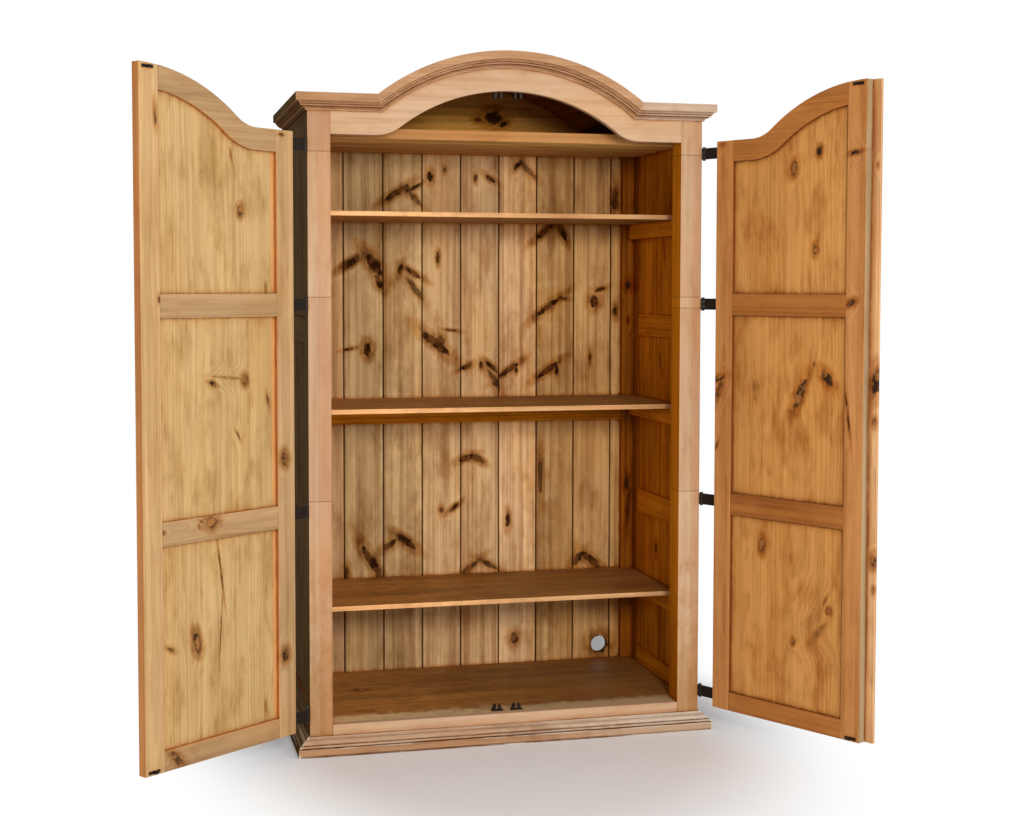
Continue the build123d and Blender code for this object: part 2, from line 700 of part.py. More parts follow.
def catch_clips():
    """Sprung clips for each door: two on the floor and two behind the top of the arch."""
    back = CLIP_FRONT + CLIP_DEPTH
    half = CATCH_WIDTH / 2
    slot = CLIP_SLOT / 2
    bridge = SPRING_Z + ARCH_RISE
    plate = FLOOR_TOP + CLIP_PLATE
    top = plate + CLIP_TALL
    upper = []
    with BuildPart() as lower:
        for x in (-CATCH_X, CATCH_X):
            upper.append((x - half, x + half, FRIEZE_THICK, back, bridge, bridge + CLIP_PLATE))
            upper.append((x - half, x + half, FRIEZE_THICK, FRIEZE_THICK + CLIP_PLATE,
                          bridge + CLIP_PLATE, bridge + CATCH_WIDTH))
            for jaw in ((x - half, x - slot), (x + slot, x + half)):
                upper.append((*jaw, CLIP_FRONT, back, bridge - CLIP_TALL, bridge))
            foot, root, shoulder, crown = CLIP_HALF_WIDTHS
            with BuildSketch(upright(CASE, back)):
                with BuildLine():
                    Polyline((x + foot, FLOOR_TOP), (x + foot, plate), (x + root, plate),
                             (x + shoulder, top - CLIP_SHOULDER), (x + crown, top), (x + slot, top),
                             (x + slot, plate), (x - slot, plate), (x - slot, top), (x - crown, top),
                             (x - shoulder, top - CLIP_SHOULDER), (x - root, plate), (x - foot, plate),
                             (x - foot, FLOOR_TOP), close=True)
                make_face()
            extrude(amount=CLIP_DEPTH)
    finish(lower.part, "lower_catch_clips")
    stacked("upper_catch_clips", upper)


def door_spears(name, frame, inward):
    """Catch plates on a door's inner face, each with a spear that enters its clip."""
    x = PIVOT_X - CATCH_X
    with BuildPart() as spears:
        for middle in (FLOOR_TOP + SPEAR_LOWER, SPRING_Z + ARCH_RISE - SPEAR_UPPER):
            start = DOOR_INNER
            for wide, tall, deep in (SPEAR_PLATE, SPEAR):
                with BuildSketch(frame.offset(middle - tall / 2)):
                    with Locations((x, inward * (start + deep / 2))):
                        Rectangle(wide, deep)
                extrude(amount=tall)
                start += deep
    finish(spears.part, f"{name}_catch_spears")


def main():
    os.makedirs("parts", exist_ok=True)
    front_posts()
    back_posts()
    side_frames()
    arched_front_rail()
    back_planks()
    arched_back_board()
    bonnet_roof()
    inner_boards()
    base_mouldings()
    cornices()
    case_leaves()
    hinge_pins()
    case_screws()
    catch_clips()
    for side, name, angle in ((-1, "left", LEFT_OPEN), (1, "right", RIGHT_OPEN)):
        frame = door_frame(side, angle)
        door_woodwork(f"{name}_door", frame, -side)
        door_straps(f"{name}_door", frame, -side)
        door_screws(f"{name}_door", frame, -side)
        door_spears(f"{name}_door", frame, -side)
        pull(f"{name}_door", frame, -side)
    astragal(door_frame(1, RIGHT_OPEN), -1)


main()
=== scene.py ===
import json
import math
from dataclasses import dataclass

import bpy
from mathutils import Matrix, Vector


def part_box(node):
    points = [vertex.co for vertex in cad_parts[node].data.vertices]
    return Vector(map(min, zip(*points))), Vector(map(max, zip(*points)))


bl_info = {
    "name": "Trastero cabinet",
    "version": (1, 0, 0),
    "blender": (4, 5, 0),
    "location": "3D View > Sidebar > Cabinet",
    "description": "Finishes a pine cabinet with an arched bonnet and two iron-hinged doors",
    "category": "Object",
}

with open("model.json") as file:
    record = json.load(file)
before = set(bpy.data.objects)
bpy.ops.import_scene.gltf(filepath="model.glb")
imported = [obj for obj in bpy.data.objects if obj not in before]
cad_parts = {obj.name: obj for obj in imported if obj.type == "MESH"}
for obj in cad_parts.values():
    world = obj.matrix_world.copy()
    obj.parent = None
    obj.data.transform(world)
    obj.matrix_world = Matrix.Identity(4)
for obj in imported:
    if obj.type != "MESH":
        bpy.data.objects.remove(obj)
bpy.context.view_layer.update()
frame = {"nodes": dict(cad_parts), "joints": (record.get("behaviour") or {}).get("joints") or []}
NODES = frame["nodes"]
MM = 0.001

ACROSS_X = Vector((1, 0, 0))
ACROSS_Y = Vector((0, 1, 0))
UP = Vector((0, 0, 1))

CASE_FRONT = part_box("left_front_post")[0].y
CASE_ORIGIN = Vector((0, CASE_FRONT, 0))
# The back planks' pitch, and the place across of one of their joints
PLANK_PITCH = 131 * MM
PLANK_JOINT = 113 * MM
# Half a door stile's width, and the hole low in the back planks, in millimetres like the knots
STILE_HALF = 31.5
CABLE_HOLE = (470, 132)
CABLE_HOLE_RADIUS = 28

# The camera's sensor in millimetres and its picture in pixels
SENSOR = 36
PICTURE_WIDTH, PICTURE_HEIGHT = 1024, 816
# A knot's half width in millimetres for each pixel of its stroke's width
STROKE_HALF = 3.0
# How far a door's inner face lies from its hinge line
DOOR_FACE = 29.6 * MM

OCCLUSION_SAMPLES = 6
GRAIN_DEPTH = 0.6 * MM
GRAIN_STRENGTH = 0.35
HAMMER_DEPTH = 0.8 * MM


def srgb(red, green, blue):
    """A colour given in screen values from 0 to 255, as the linear colour that nodes take."""
    return tuple(((c / 255 + 0.055) / 1.055) ** 2.4 if c > 10 else c / 3294.6 for c in (red, green, blue))


# ------------------------------------------------------------------ settings
def colour(name, description, value):
    return bpy.props.FloatVectorProperty(name=name, description=description, subtype="COLOR", size=3,
                                         min=0, max=1, default=value)


# Each wood: where it is used, its pale colour and the deep colour of its grain, in screen values
WOODS = {
    "case": ("the posts and the arched rail", (204, 170, 137), (178, 138, 106)),
    # The wood of the case's outer sides is darker than the front's: painted shade for the sides that stand in
    # shade
    "outside": ("the case's outer sides", (126, 102, 70), (90, 70, 46)),
    "cornice": ("the cornice", (194, 150, 112), (134, 90, 56)),
    "base": ("the base", (212, 180, 148), (150, 108, 76)),
    "left_stile": ("the left door's stiles", (210, 172, 122), (166, 128, 84)),
    "left_rail": ("the left door's rails", (186, 150, 106), (142, 110, 76)),
    "left_panel": ("the left door's panels", (204, 170, 118), (160, 124, 76)),
    "left_edge": ("the stained edges of the left door's boards", (218, 150, 88), (176, 98, 44)),
    "right_stile": ("the right door's stiles", (208, 146, 86), (160, 98, 48)),
    "right_rail": ("the right door's rails", (188, 122, 60), (140, 82, 38)),
    "right_panel": ("the right door's panels", (218, 158, 88), (172, 112, 52)),
    "right_edge": ("the stained edges of the right door's boards", (150, 86, 34), (116, 66, 28)),
    "right_free_edge": ("the right door's bare meeting edge", (180, 160, 124), (116, 66, 28)),
    "outer": ("the faces that show when the doors are shut", (206, 162, 114), (158, 114, 72)),
    "astragal": ("the strip that covers the doors' meeting", (230, 182, 130), (160, 98, 48)),
    "plank": ("the back planks", (255, 222, 174), (164, 120, 80)),
    "inside": ("the side walls and the rails inside", (222, 140, 32), (140, 76, 12)),
    "corner": ("the back posts", (156, 88, 22), (96, 48, 10)),
    "arch": ("the board behind the arch", (236, 174, 84), (150, 98, 40)),
    "ceiling": ("the ceiling board", (252, 198, 116), (150, 98, 40)),
    "ceiling_edge": ("the front edge of the ceiling board", (190, 136, 80), (166, 112, 58)),
    "shelf": ("the shelves, the floor and the bonnet", (164, 113, 55), (114, 74, 34)),
    "shelf_edge": ("the front edges of the shelves", (212, 166, 116), (186, 134, 84)),
}
STAINS = {
    "floor_worn": ("Bare strip at the front of the floor", (214, 190, 144)),
    "plank_knot": ("Heart of the knots of the back planks", (104, 62, 28)),
    "knot": ("Heart of the other knots", (158, 104, 54)),
    "knot_rim": ("Rim of the knots", (50, 27, 12)),
    # This dark colour also darkens the corners: partly wax, partly painted shade
    "grime": ("Dark wax left in the corners", (60, 34, 14)),
    # This brown darkens the mouldings' grooves: partly wax, partly painted shade
    "groove": ("Brown wax left in the grooves of the mouldings", (88, 48, 22)),
    "worn": ("Wood rubbed pale on the edges of the mouldings", (214, 200, 182)),
}


def pine_properties():
    """A pale and a deep colour for each wood, and one colour for each stain."""
    made = {}
    for key, (where, pale, deep) in WOODS.items():
        label = key.replace("_", " ").capitalize()
        made[f"{key}_pale"] = colour(label, f"Pale wood of {where}", srgb(*pale))
        made[f"{key}_deep"] = colour(f"{label} grain", f"Grain of {where}", srgb(*deep))
    for key, (what, shade) in STAINS.items():
        made[key] = colour(key.replace("_", " ").capitalize(), what, srgb(*shade))
    return made


class PineColours(bpy.types.PropertyGroup):
    __annotations__ = pine_properties()

    def wood(self, name):
        """A wood's pale and deep colours."""
        return getattr(self, f"{name}_pale"), getattr(self, f"{name}_deep")


class IronSettings(bpy.types.PropertyGroup):
    black: colour("Iron", "Blacked iron of the hinges, catches and pulls", srgb(34, 28, 23))
    rust: colour("Rust", "Rust in the hollows of the iron", srgb(78, 46, 28))


class StudioSettings(bpy.types.PropertyGroup):
    camera: bpy.props.FloatVectorProperty(
        name="Camera", description="Where the camera stands", subtype="TRANSLATION", unit="LENGTH", size=3,
        default=(-1.1306, -4.5212 + CASE_FRONT, 1.3668))
    turn: bpy.props.FloatProperty(
        name="Turn", description="How far the camera looks to the right of straight ahead", subtype="ANGLE",
        unit="ROTATION", default=math.radians(14.1))
    dip: bpy.props.FloatProperty(
        name="Dip", description="How far the camera looks down", subtype="ANGLE", unit="ROTATION",
        default=math.radians(3.0))
    roll: bpy.props.FloatProperty(
        name="Roll", description="How far the camera leans", subtype="ANGLE", unit="ROTATION",
        default=math.radians(0.1))
    lens: bpy.props.FloatProperty(
        name="Lens", description="Focal length on a 36 mm wide sensor, in millimetres", default=55.21)
    shift: bpy.props.FloatProperty(
        name="Shift", description="Upward shift of the frame, in frame widths", default=-0.039)
    key: bpy.props.FloatProperty(
        name="Key light", description="Power of the lamp beside the camera", unit="POWER", default=128)
    fill: bpy.props.FloatProperty(
        name="Fill light", description="Power of the wide lamp at the front right", unit="POWER", default=56)
    sky: bpy.props.FloatProperty(
        name="Sky", description="Strength of the soft light from the front", default=0.55)
    floor: colour("Floor", "Colour of the studio floor", (0.90, 0.90, 0.90))


# ------------------------------------------------------------------ shader building
def add(tree, kind, inputs=None, **settings):
    """Adds one shader node. Its inputs are given as values or as other nodes' outputs."""
    made = tree.nodes.new(kind)
    for name, value in settings.items():
        setattr(made, name, value)
    for key, value in (inputs or {}).items():
        if isinstance(value, bpy.types.NodeSocket):
            tree.links.new(value, made.inputs[key])
        else:
            made.inputs[key].default_value = value
    return made


def maths(tree, operation, *values, **settings):
    return add(tree, "ShaderNodeMath", dict(enumerate(values)), operation=operation, **settings).outputs[0]


def plus(tree, *values):
    return maths(tree, "ADD", *values)


def minus(tree, *values, **settings):
    return maths(tree, "SUBTRACT", *values, **settings)


def times(tree, *values, **settings):
    return maths(tree, "MULTIPLY", *values, **settings)


def vectors(tree, operation, *values):
    made = add(tree, "ShaderNodeVectorMath", dict(enumerate(values)), operation=operation)
    return made.outputs["Value" if operation in ("LENGTH", "DOT_PRODUCT") else "Vector"]


def fade(tree, value, start, end, low=0.0, high=1.0):
    """A smooth step from low, at start, to high, at end."""
    inputs = {"Value": value, "From Min": start, "From Max": end, "To Min": low, "To Max": high}
    return add(tree, "ShaderNodeMapRange", inputs, interpolation_type="SMOOTHSTEP").outputs["Result"]


def noise(tree, vector, scale=1.0, detail=2.0, rough=0.5):
    inputs = {"Vector": vector, "Scale": scale, "Detail": detail, "Roughness": rough}
    return add(tree, "ShaderNodeTexNoise", inputs)


def mix(tree, factor, first, second, blend="MIX"):
    first, second = (colour if isinstance(colour, bpy.types.NodeSocket) else (*colour[:3], 1)
                     for colour in (first, second))
    made = add(tree, "ShaderNodeMix", {0: factor, 6: first, 7: second}, data_type="RGBA", blend_type=blend)
    return made.outputs[2]


def take_apart(tree, vector):
    return add(tree, "ShaderNodeSeparateXYZ", {"Vector": vector}).outputs


def tinted(tree, value, change):
    return mix(tree, 1.0, value, change, "MULTIPLY")


def group(name, inputs, outputs):
    """A new shader node group; the sockets are given as (name, kind, default) and (name, kind)."""
    tree = bpy.data.node_groups.new(name, "ShaderNodeTree")
    for title, kind, default in inputs:
        socket = tree.interface.new_socket(name=title, in_out="INPUT", socket_type="NodeSocket" + kind)
        socket.default_value = default
    for title, kind in outputs:
        tree.interface.new_socket(name=title, in_out="OUTPUT", socket_type="NodeSocket" + kind)
    return tree, tree.nodes.new("NodeGroupInput").outputs, tree.nodes.new("NodeGroupOutput").inputs


def place_group(tree, name, inputs):
    return add(tree, "ShaderNodeGroup", inputs, node_tree=bpy.data.node_groups[name]).outputs


def make_knot_group():
    """One knot, or one branch cut lengthways, added to those before it.

    It is an ellipse leaning across the board, with a rim, a fill inside it and a stain around it. The
    grain is pushed aside in a longer ellipse along the board. The unused middle part of the vector
    carries the fill, so that a long chain is worked out knot by knot.
    """
    tree, given, out = group(
        "Knot",
        [("Vector", "Vector", (0, 0, 0)), ("Wobble", "Vector", (0, 0, 0)), ("Centre", "Vector", (0, 0, 0)),
         ("Scale", "Vector", (100, 0, 100)), ("Lean", "Float", 0.0), ("Reach", "Vector", (30, 0, 15)),
         ("Push", "Float", 0.01), ("Strength", "Float", 1.0), ("Flow", "Float", 0.0),
         ("Stain", "Float", 0.0), ("Rim", "Float", 0.0), ("Fill", "Float", 0.0)],
        [("Vector", "Vector"), ("Flow", "Float"), ("Stain", "Float"), ("Rim", "Float"), ("Fill", "Float")])
    away = vectors(tree, "SUBTRACT", given["Vector"], given["Centre"])
    turned = add(tree, "ShaderNodeVectorRotate", {"Vector": away, "Angle": given["Lean"]},
                 rotation_type="Y_AXIS", invert=True).outputs[0]
    sized = vectors(tree, "ADD", vectors(tree, "MULTIPLY", turned, given["Scale"]), given["Wobble"])
    distance = vectors(tree, "LENGTH", sized)
    fill = times(tree, fade(tree, distance, 0.65, 1.05, 1.0, 0.0), given["Strength"])
    rim = times(tree, fade(tree, distance, 0.9, 1.2, 1.0, 0.0), given["Strength"])
    stain = times(tree, fade(tree, distance, 0.7, 3.2, 1.0, 0.0), given["Strength"])
    reach = vectors(tree, "LENGTH", vectors(tree, "MULTIPLY", away, given["Reach"]))
    push = times(tree, fade(tree, reach, 0.0, 1.0, 1.0, 0.0), given["Push"])
    tree.links.new(plus(tree, given["Flow"], push), out["Flow"])
    tree.links.new(maths(tree, "MAXIMUM", given["Stain"], stain), out["Stain"])
    fullest = maths(tree, "MAXIMUM", given["Fill"], fill)
    carried = add(tree, "ShaderNodeCombineXYZ", {"Y": fullest}).outputs[0]
    tree.links.new(maths(tree, "MAXIMUM", given["Rim"], rim), out["Rim"])
    tree.links.new(fullest, out["Fill"])
    tree.links.new(vectors(tree, "ADD", given["Vector"], carried), out["Vector"])


# What the wood's colour is multiplied by where it is warm, smeared, stained by a knot or smoked by one
WARM = (0.98, 0.84, 0.62)
SMEARED = (0.70, 0.58, 0.44)
STAINED = (0.88, 0.70, 0.48)
SMOKED = (0.36, 0.26, 0.19)


def make_pine_group():
    """Sawn pine. Rings stand round a pith beside the face; each ring darkens slowly and ends sharply.

    The ring count is the distance from the pith, warped by slow noise stretched along the board, plus
    the flow round the knots, times the rings in a metre. Streaks and fibres are noise stretched along
    the board, and clouds of stain lie over them.
    """
    tree, given, out = group(
        "Pine",
        [("Vector", "Vector", (0, 0, 0)), ("Seed", "Float", 0.0), ("Pith", "Vector", (0.01, 0.05, 0)),
         ("Rings", "Float", 210.0), ("Ring Contrast", "Float", 0.35), ("Streaks", "Float", 0.5),
         ("Clouds", "Float", 0.4), ("Flow", "Float", 0.0), ("Stain", "Float", 0.0), ("Rim", "Float", 0.0),
         ("Fill", "Float", 0.0), ("Pale", "Color", (1, 1, 1, 1)), ("Deep", "Color", (0.5, 0.3, 0.2, 1)),
         ("Cloud Color", "Color", (0.6, 0.48, 0.36, 1)), ("Knot Color", "Color", (0.2, 0.08, 0.03, 1)),
         ("Rim Color", "Color", (0.03, 0.015, 0.01, 1))],
        [("Color", "Color"), ("Roughness", "Float"), ("Height", "Float")])
    jump = add(tree, "ShaderNodeCombineXYZ", {"X": times(tree, given["Seed"], 1.37),
                                              "Y": given["Seed"],
                                              "Z": times(tree, given["Seed"], 2.71)}).outputs[0]
    board = vectors(tree, "ADD", given["Vector"], jump)

    def stretched(scale, detail=2.0, rough=0.5):
        """Noise with its own scale across, deep and along, in turns a metre."""
        return noise(tree, vectors(tree, "MULTIPLY", board, scale), detail=detail, rough=rough).outputs

    def centred(colour, size):
        return vectors(tree, "MULTIPLY", vectors(tree, "SUBTRACT", colour, (0.5, 0.5, 0.5)), size)

    warp = centred(stretched((7, 7, 0.9), 3.0)["Color"], (0.05, 0.035, 0))
    ripple = centred(stretched((38, 38, 5))["Color"], (0.006, 0.006, 0))
    from_pith = vectors(tree, "SUBTRACT", given["Vector"], given["Pith"])
    from_pith = vectors(tree, "ADD", vectors(tree, "ADD", from_pith, warp), ripple)
    radius = vectors(tree, "LENGTH", vectors(tree, "MULTIPLY", from_pith, (1, 1, 0)))
    phase = times(tree, plus(tree, radius, given["Flow"]), given["Rings"])
    ring = maths(tree, "FRACT", phase)
    late = times(tree, maths(tree, "POWER", ring, 1.6), fade(tree, ring, 0.8, 1.0, 1.0, 0.0))

    streak = fade(tree, stretched((58, 58, 0.8), 4.0, 0.6)["Fac"], 0.36, 0.70)
    stripe = stretched((250, 250, 1.8))["Fac"]
    tone = fade(tree, stretched((10, 10, 1.3))["Fac"], 0.35, 0.72)
    fibre = stretched((820, 820, 11))["Fac"]
    pale_streak = fade(tree, stretched((24, 24, 0.5), 2.0)["Fac"], 0.58, 0.74)
    cloud = fade(tree, stretched((12, 12, 5), 4.0, 0.62)["Fac"], 0.46, 0.72)
    smear = fade(tree, stretched((42, 42, 9), 4.0, 0.6)["Fac"], 0.5, 0.72)
    warm = fade(tree, stretched((8, 8, 2.4), 3.0)["Fac"], 0.45, 0.72)

    depth = times(tree, late, given["Ring Contrast"])
    depth = plus(tree, depth, times(tree, streak, given["Streaks"]))
    depth = plus(tree, depth, times(tree, tone, 0.3))
    stripe = times(tree, minus(tree, stripe, 0.5), given["Streaks"])
    depth = plus(tree, depth, stripe)
    depth = plus(tree, depth, times(tree, minus(tree, fibre, 0.5), 0.3))
    pale_streak = times(tree, pale_streak, times(tree, given["Streaks"], 0.8))
    depth = minus(tree, depth, pale_streak, use_clamp=True)
    wood = mix(tree, depth, given["Pale"], given["Deep"])
    wood = mix(tree, times(tree, warm, 0.5), wood, WARM, "MULTIPLY")
    wood = mix(tree, times(tree, cloud, given["Clouds"]), wood, given["Cloud Color"], "MULTIPLY")
    smear = times(tree, smear, times(tree, given["Clouds"], 0.7))
    wood = mix(tree, smear, wood, SMEARED, "MULTIPLY")
    wood = mix(tree, fade(tree, given["Stain"], 0.0, 0.6, 0.0, 0.9), wood, STAINED, "MULTIPLY")
    smoke = fade(tree, stretched((40, 40, 20), 3.0)["Fac"], 0.35, 0.6, 0.1, 1.0)
    smoke = times(tree, maths(tree, "POWER", given["Stain"], 1.7), smoke)
    wood = mix(tree, smoke, wood, SMOKED, "MULTIPLY")
    mottled = stretched((44, 44, 34), 3.0)["Fac"]
    rim = times(tree, given["Rim"], fade(tree, mottled, 0.36, 0.56, 0.3, 0.97))
    wood = mix(tree, rim, wood, given["Rim Color"])
    heart = mix(tree, fade(tree, mottled, 0.42, 0.6), given["Knot Color"], given["Rim Color"])
    wood = mix(tree, times(tree, given["Fill"], 0.9), wood, heart)
    tree.links.new(wood, out["Color"])

    rough = plus(tree, 0.48, times(tree, fibre, 0.16))
    rough = minus(tree, rough, times(tree, given["Fill"], 0.12))
    tree.links.new(rough, out["Roughness"])
    height = plus(tree, times(tree, fibre, 0.5), times(tree, late, 0.08))
    height = minus(tree, height, times(tree, given["Fill"], 0.4))
    tree.links.new(height, out["Height"])


def occlusion(tree, distance, **settings):
    """How open a point is, from 0 to 1, within a distance."""
    return add(tree, "ShaderNodeAmbientOcclusion", {"Distance": distance}, samples=OCCLUSION_SAMPLES,
               **settings).outputs["AO"]


def make_wax_and_shade_group():
    """Warm wax round corners and dark wax in them, where nearby surfaces shut the light out; the darkening is
    partly wax, partly painted shade.
    """
    tree, given, out = group(
        "Grime",
        [("Vector", "Vector", (0, 0, 0)), ("Color", "Color", (1, 1, 1, 1)), ("Grime", "Color", (0, 0, 0, 1)),
         ("Glaze", "Color", (0.9, 0.6, 0.35, 1)), ("Distance", "Float", 0.012), ("Amount", "Float", 0.8),
         ("Open", "Float", 0.7), ("Shut", "Float", 0.35)],
        [("Color", "Color")])
    shut = occlusion(tree, given["Distance"])
    broken = noise(tree, vectors(tree, "MULTIPLY", given["Vector"], (60, 60, 24)), detail=3.0).outputs["Fac"]
    # Painted shade with the wax: near corners the wood warms and darkens, in them it turns dark
    glaze = times(tree, fade(tree, shut, 0.98, 0.66), fade(tree, broken, 0.2, 0.6, 0.35, 0.9))
    glazed_and_shaded = mix(tree, glaze, given["Color"], given["Glaze"], "MULTIPLY")
    span = fade(tree, shut, given["Open"], given["Shut"])
    mask = times(tree, span, fade(tree, broken, 0.3, 0.6, 0.5, 1.0))
    mask = times(tree, mask, given["Amount"], use_clamp=True)
    tree.links.new(mix(tree, mask, glazed_and_shaded, given["Grime"]), out["Color"])


def make_wear_group():
    """Pale wear on outward edges, broken up along the moulding."""
    tree, given, out = group(
        "Wear", [("Vector", "Vector", (0, 0, 0)), ("Distance", "Float", 0.004), ("Amount", "Float", 0.7)],
        [("Mask", "Float")])
    thin = occlusion(tree, given["Distance"], inside=True)
    patches = noise(tree, vectors(tree, "MULTIPLY", given["Vector"], (90, 90, 7)), detail=4.0, rough=0.7)
    broken = fade(tree, patches.outputs["Fac"], 0.42, 0.62)
    mask = times(tree, fade(tree, thin, 0.96, 0.7), broken)
    tree.links.new(times(tree, mask, given["Amount"], use_clamp=True), out["Mask"])


def make_plank_group():
    """Splits a wall into planks: each gets its own place in the wood and its own tone, with a dark joint."""
    tree, given, out = group(
        "Planks", [("Vector", "Vector", (0, 0, 0))],
        [("Vector", "Vector"), ("Tone", "Float"), ("Second Tone", "Float"), ("Joint", "Float")])
    parts = take_apart(tree, given["Vector"])
    count = maths(tree, "DIVIDE", minus(tree, parts["X"], PLANK_JOINT), PLANK_PITCH)
    number = maths(tree, "FLOOR", count)
    chance = add(tree, "ShaderNodeTexWhiteNoise", {"W": number}, noise_dimensions="1D").outputs
    along = plus(tree, parts["Z"], times(tree, chance["Value"], 7.0))
    chances = add(tree, "ShaderNodeSeparateColor", {"Color": chance["Color"]}).outputs
    inside = times(tree, minus(tree, maths(tree, "FRACT", count), 0.5), PLANK_PITCH)
    offset = plus(tree, inside, times(tree, minus(tree, chances[1], 0.5), 0.07))
    deep = plus(tree, parts["Y"], times(tree, chances[2], 0.03))
    vector = add(tree, "ShaderNodeCombineXYZ", {"X": offset, "Y": deep, "Z": along}).outputs[0]
    edge = minus(tree, PLANK_PITCH / 2, maths(tree, "ABSOLUTE", inside))
    tree.links.new(vector, out["Vector"])
    tree.links.new(chances[0], out["Tone"])
    tree.links.new(chances[1], out["Second Tone"])
    tree.links.new(fade(tree, edge, 0.8 * MM, 4.5 * MM, 1.0, 0.0), out["Joint"])


def make_glue_group():
    """A glued joint across a board: a thin dark line, and a change of tone beyond it."""
    tree, given, out = group(
        "Glue line",
        [("Coordinate", "Float", 0.0), ("Place", "Float", 0.0), ("Line", "Float", 0.0),
         ("Side", "Float", 0.0)],
        [("Line", "Float"), ("Side", "Float")])
    gap = minus(tree, given["Coordinate"], given["Place"])
    line = fade(tree, maths(tree, "ABSOLUTE", gap), 0.5 * MM, 1.6 * MM, 1.0, 0.0)
    side = maths(tree, "GREATER_THAN", gap, 0.0)
    tree.links.new(maths(tree, "MAXIMUM", given["Line"], line), out["Line"])
    tree.links.new(maths(tree, "ABSOLUTE", minus(tree, given["Side"], side)), out["Side"])


# ------------------------------------------------------------------ boards and their materials
def board_axes(across, along):
    """The rows that turn the object's coordinates into a board's own: across, deep and along."""
    return Matrix((across, along.cross(across), along))


UPRIGHT = board_axes(ACROSS_X, UP)
LEVEL = board_axes(UP, ACROSS_X)
SHELF = board_axes(ACROSS_Y, ACROSS_X)
SIDE_UPRIGHT = board_axes(ACROSS_Y, UP)
SIDE_LEVEL = board_axes(UP, ACROSS_Y)


def joint_of(name):
    """The point of a door's pivot line on the floor."""
    joint = next(j for j in frame["joints"] if j["child"] == name)
    return Vector((joint["pos_m"][0], joint["pos_m"][1], 0))


def door_axis(name):
    """The unit vector from a door's hinge to its meeting edge, at rest."""
    near = sum(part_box(f"{name}_hinge_stile"), Vector())
    far = sum(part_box(f"{name}_meeting_stile"), Vector())
    line = Vector((far.x - near.x, far.y - near.y, 0))
    return line.normalized()


def knot(across, along, wide, tall, lean=0, strength=1.0):
    """A knot's place and half sizes in millimetres on the board's face, and its lean in degrees."""
    return {"across": across * MM, "along": along * MM, "wide": wide * MM, "tall": tall * MM,
            "lean": math.radians(lean), "strength": strength}


def knots(*rows):
    """Knots given as rows of what one knot takes."""
    return tuple(knot(*row) for row in rows)


def camera_axes(studio):
    """The camera's right, up and ahead: turned, dipped and rolled from looking level along +Y."""
    ahead = Vector((math.sin(studio.turn) * math.cos(studio.dip),
                    math.cos(studio.turn) * math.cos(studio.dip), -math.sin(studio.dip)))
    right = Vector((math.cos(studio.turn), -math.sin(studio.turn), 0))
    above = right.cross(ahead)
    return (math.cos(studio.roll) * right + math.sin(studio.roll) * above,
            math.cos(studio.roll) * above - math.sin(studio.roll) * right, ahead)


@dataclass
class Face:
    """A face that the camera sees: its board's axes and origin, and its own normal and level above it."""
    studio: StudioSettings
    axes: Matrix
    normal: Vector
    level: float
    origin: Vector = CASE_ORIGIN

    def place(self, x, y):
        """What the camera sees at a pixel of its picture, in millimetres along the board's axes."""
        right, above, ahead = camera_axes(self.studio)
        spread = SENSOR / self.studio.lens / PICTURE_WIDTH
        rise = PICTURE_HEIGHT / 2 - y + self.studio.shift * PICTURE_WIDTH
        sight = ahead + spread * ((x - PICTURE_WIDTH / 2) * right + rise * above)
        stand = Vector(self.studio.camera) - self.origin
        reach = (self.level - stand.dot(self.normal)) / sight.dot(self.normal)
        return self.axes @ (stand + reach * sight) / MM

    def stroke(self, x, y, end_x, end_y, width, strength=1.0):
        """A knot along a stroke between two pixels."""
        first, last = self.place(x, y), self.place(end_x, end_y)
        middle, line = (first + last) / 2, last - first
        lean = (math.degrees(math.atan2(line.x, line.z)) + 90) % 180 - 90
        half = STROKE_HALF * width
        return knot(middle.x, middle.z, half, (line.length + half) / 2, lean, strength)

    def spot(self, x, y, *sizes):
        """A knot round a pixel."""
        middle = self.place(x, y)
        return knot(middle.x, middle.z, *sizes)


def knot_chain(tree, vector, chain, origin):
    """Adds the knots one after another and returns the flow, stain, rim and fill sockets."""
    values = {"Flow": 0.0, "Stain": 0.0, "Rim": 0.0, "Fill": 0.0}
    if not chain:
        return values
    rough = noise(tree, vector, 60.0, 3.0).outputs["Color"]
    wobble = vectors(tree, "MULTIPLY", vectors(tree, "SUBTRACT", rough, (0.5, 0.5, 0.5)), (1.3, 0, 0.8))
    flat = vectors(tree, "MULTIPLY", vector, (1, 0, 1))
    for item in chain:
        lean = item["lean"]
        span = item["wide"] * abs(math.cos(lean)) + item["tall"] * abs(math.sin(lean))
        rise = item["tall"] * abs(math.cos(lean)) + item["wide"] * abs(math.sin(lean))
        out = place_group(tree, "Knot", {
            "Vector": flat, "Wobble": wobble,
            "Centre": (item["across"] - origin.x, 0, item["along"] - origin.z),
            "Scale": (1 / item["wide"], 0, 1 / item["tall"]), "Lean": lean,
            "Reach": (1 / (2.0 * span + 0.012), 0, 1 / (2.2 * rise + 0.03)),
            "Push": 0.3 * span + 0.003, "Strength": item["strength"], **values})
        values = {name: out[name] for name in values}
        flat = out["Vector"]
    return values


@dataclass
class Band:
    """A colour change that fades in between two places along X (across), Y (deep) or Z (along), in millimetres:
    stain and wear, and also painted light and painted shade.
    """
    part: str
    start: float
    end: float
    change: tuple
    amount: float = 1.0
    blend: str = "MULTIPLY"


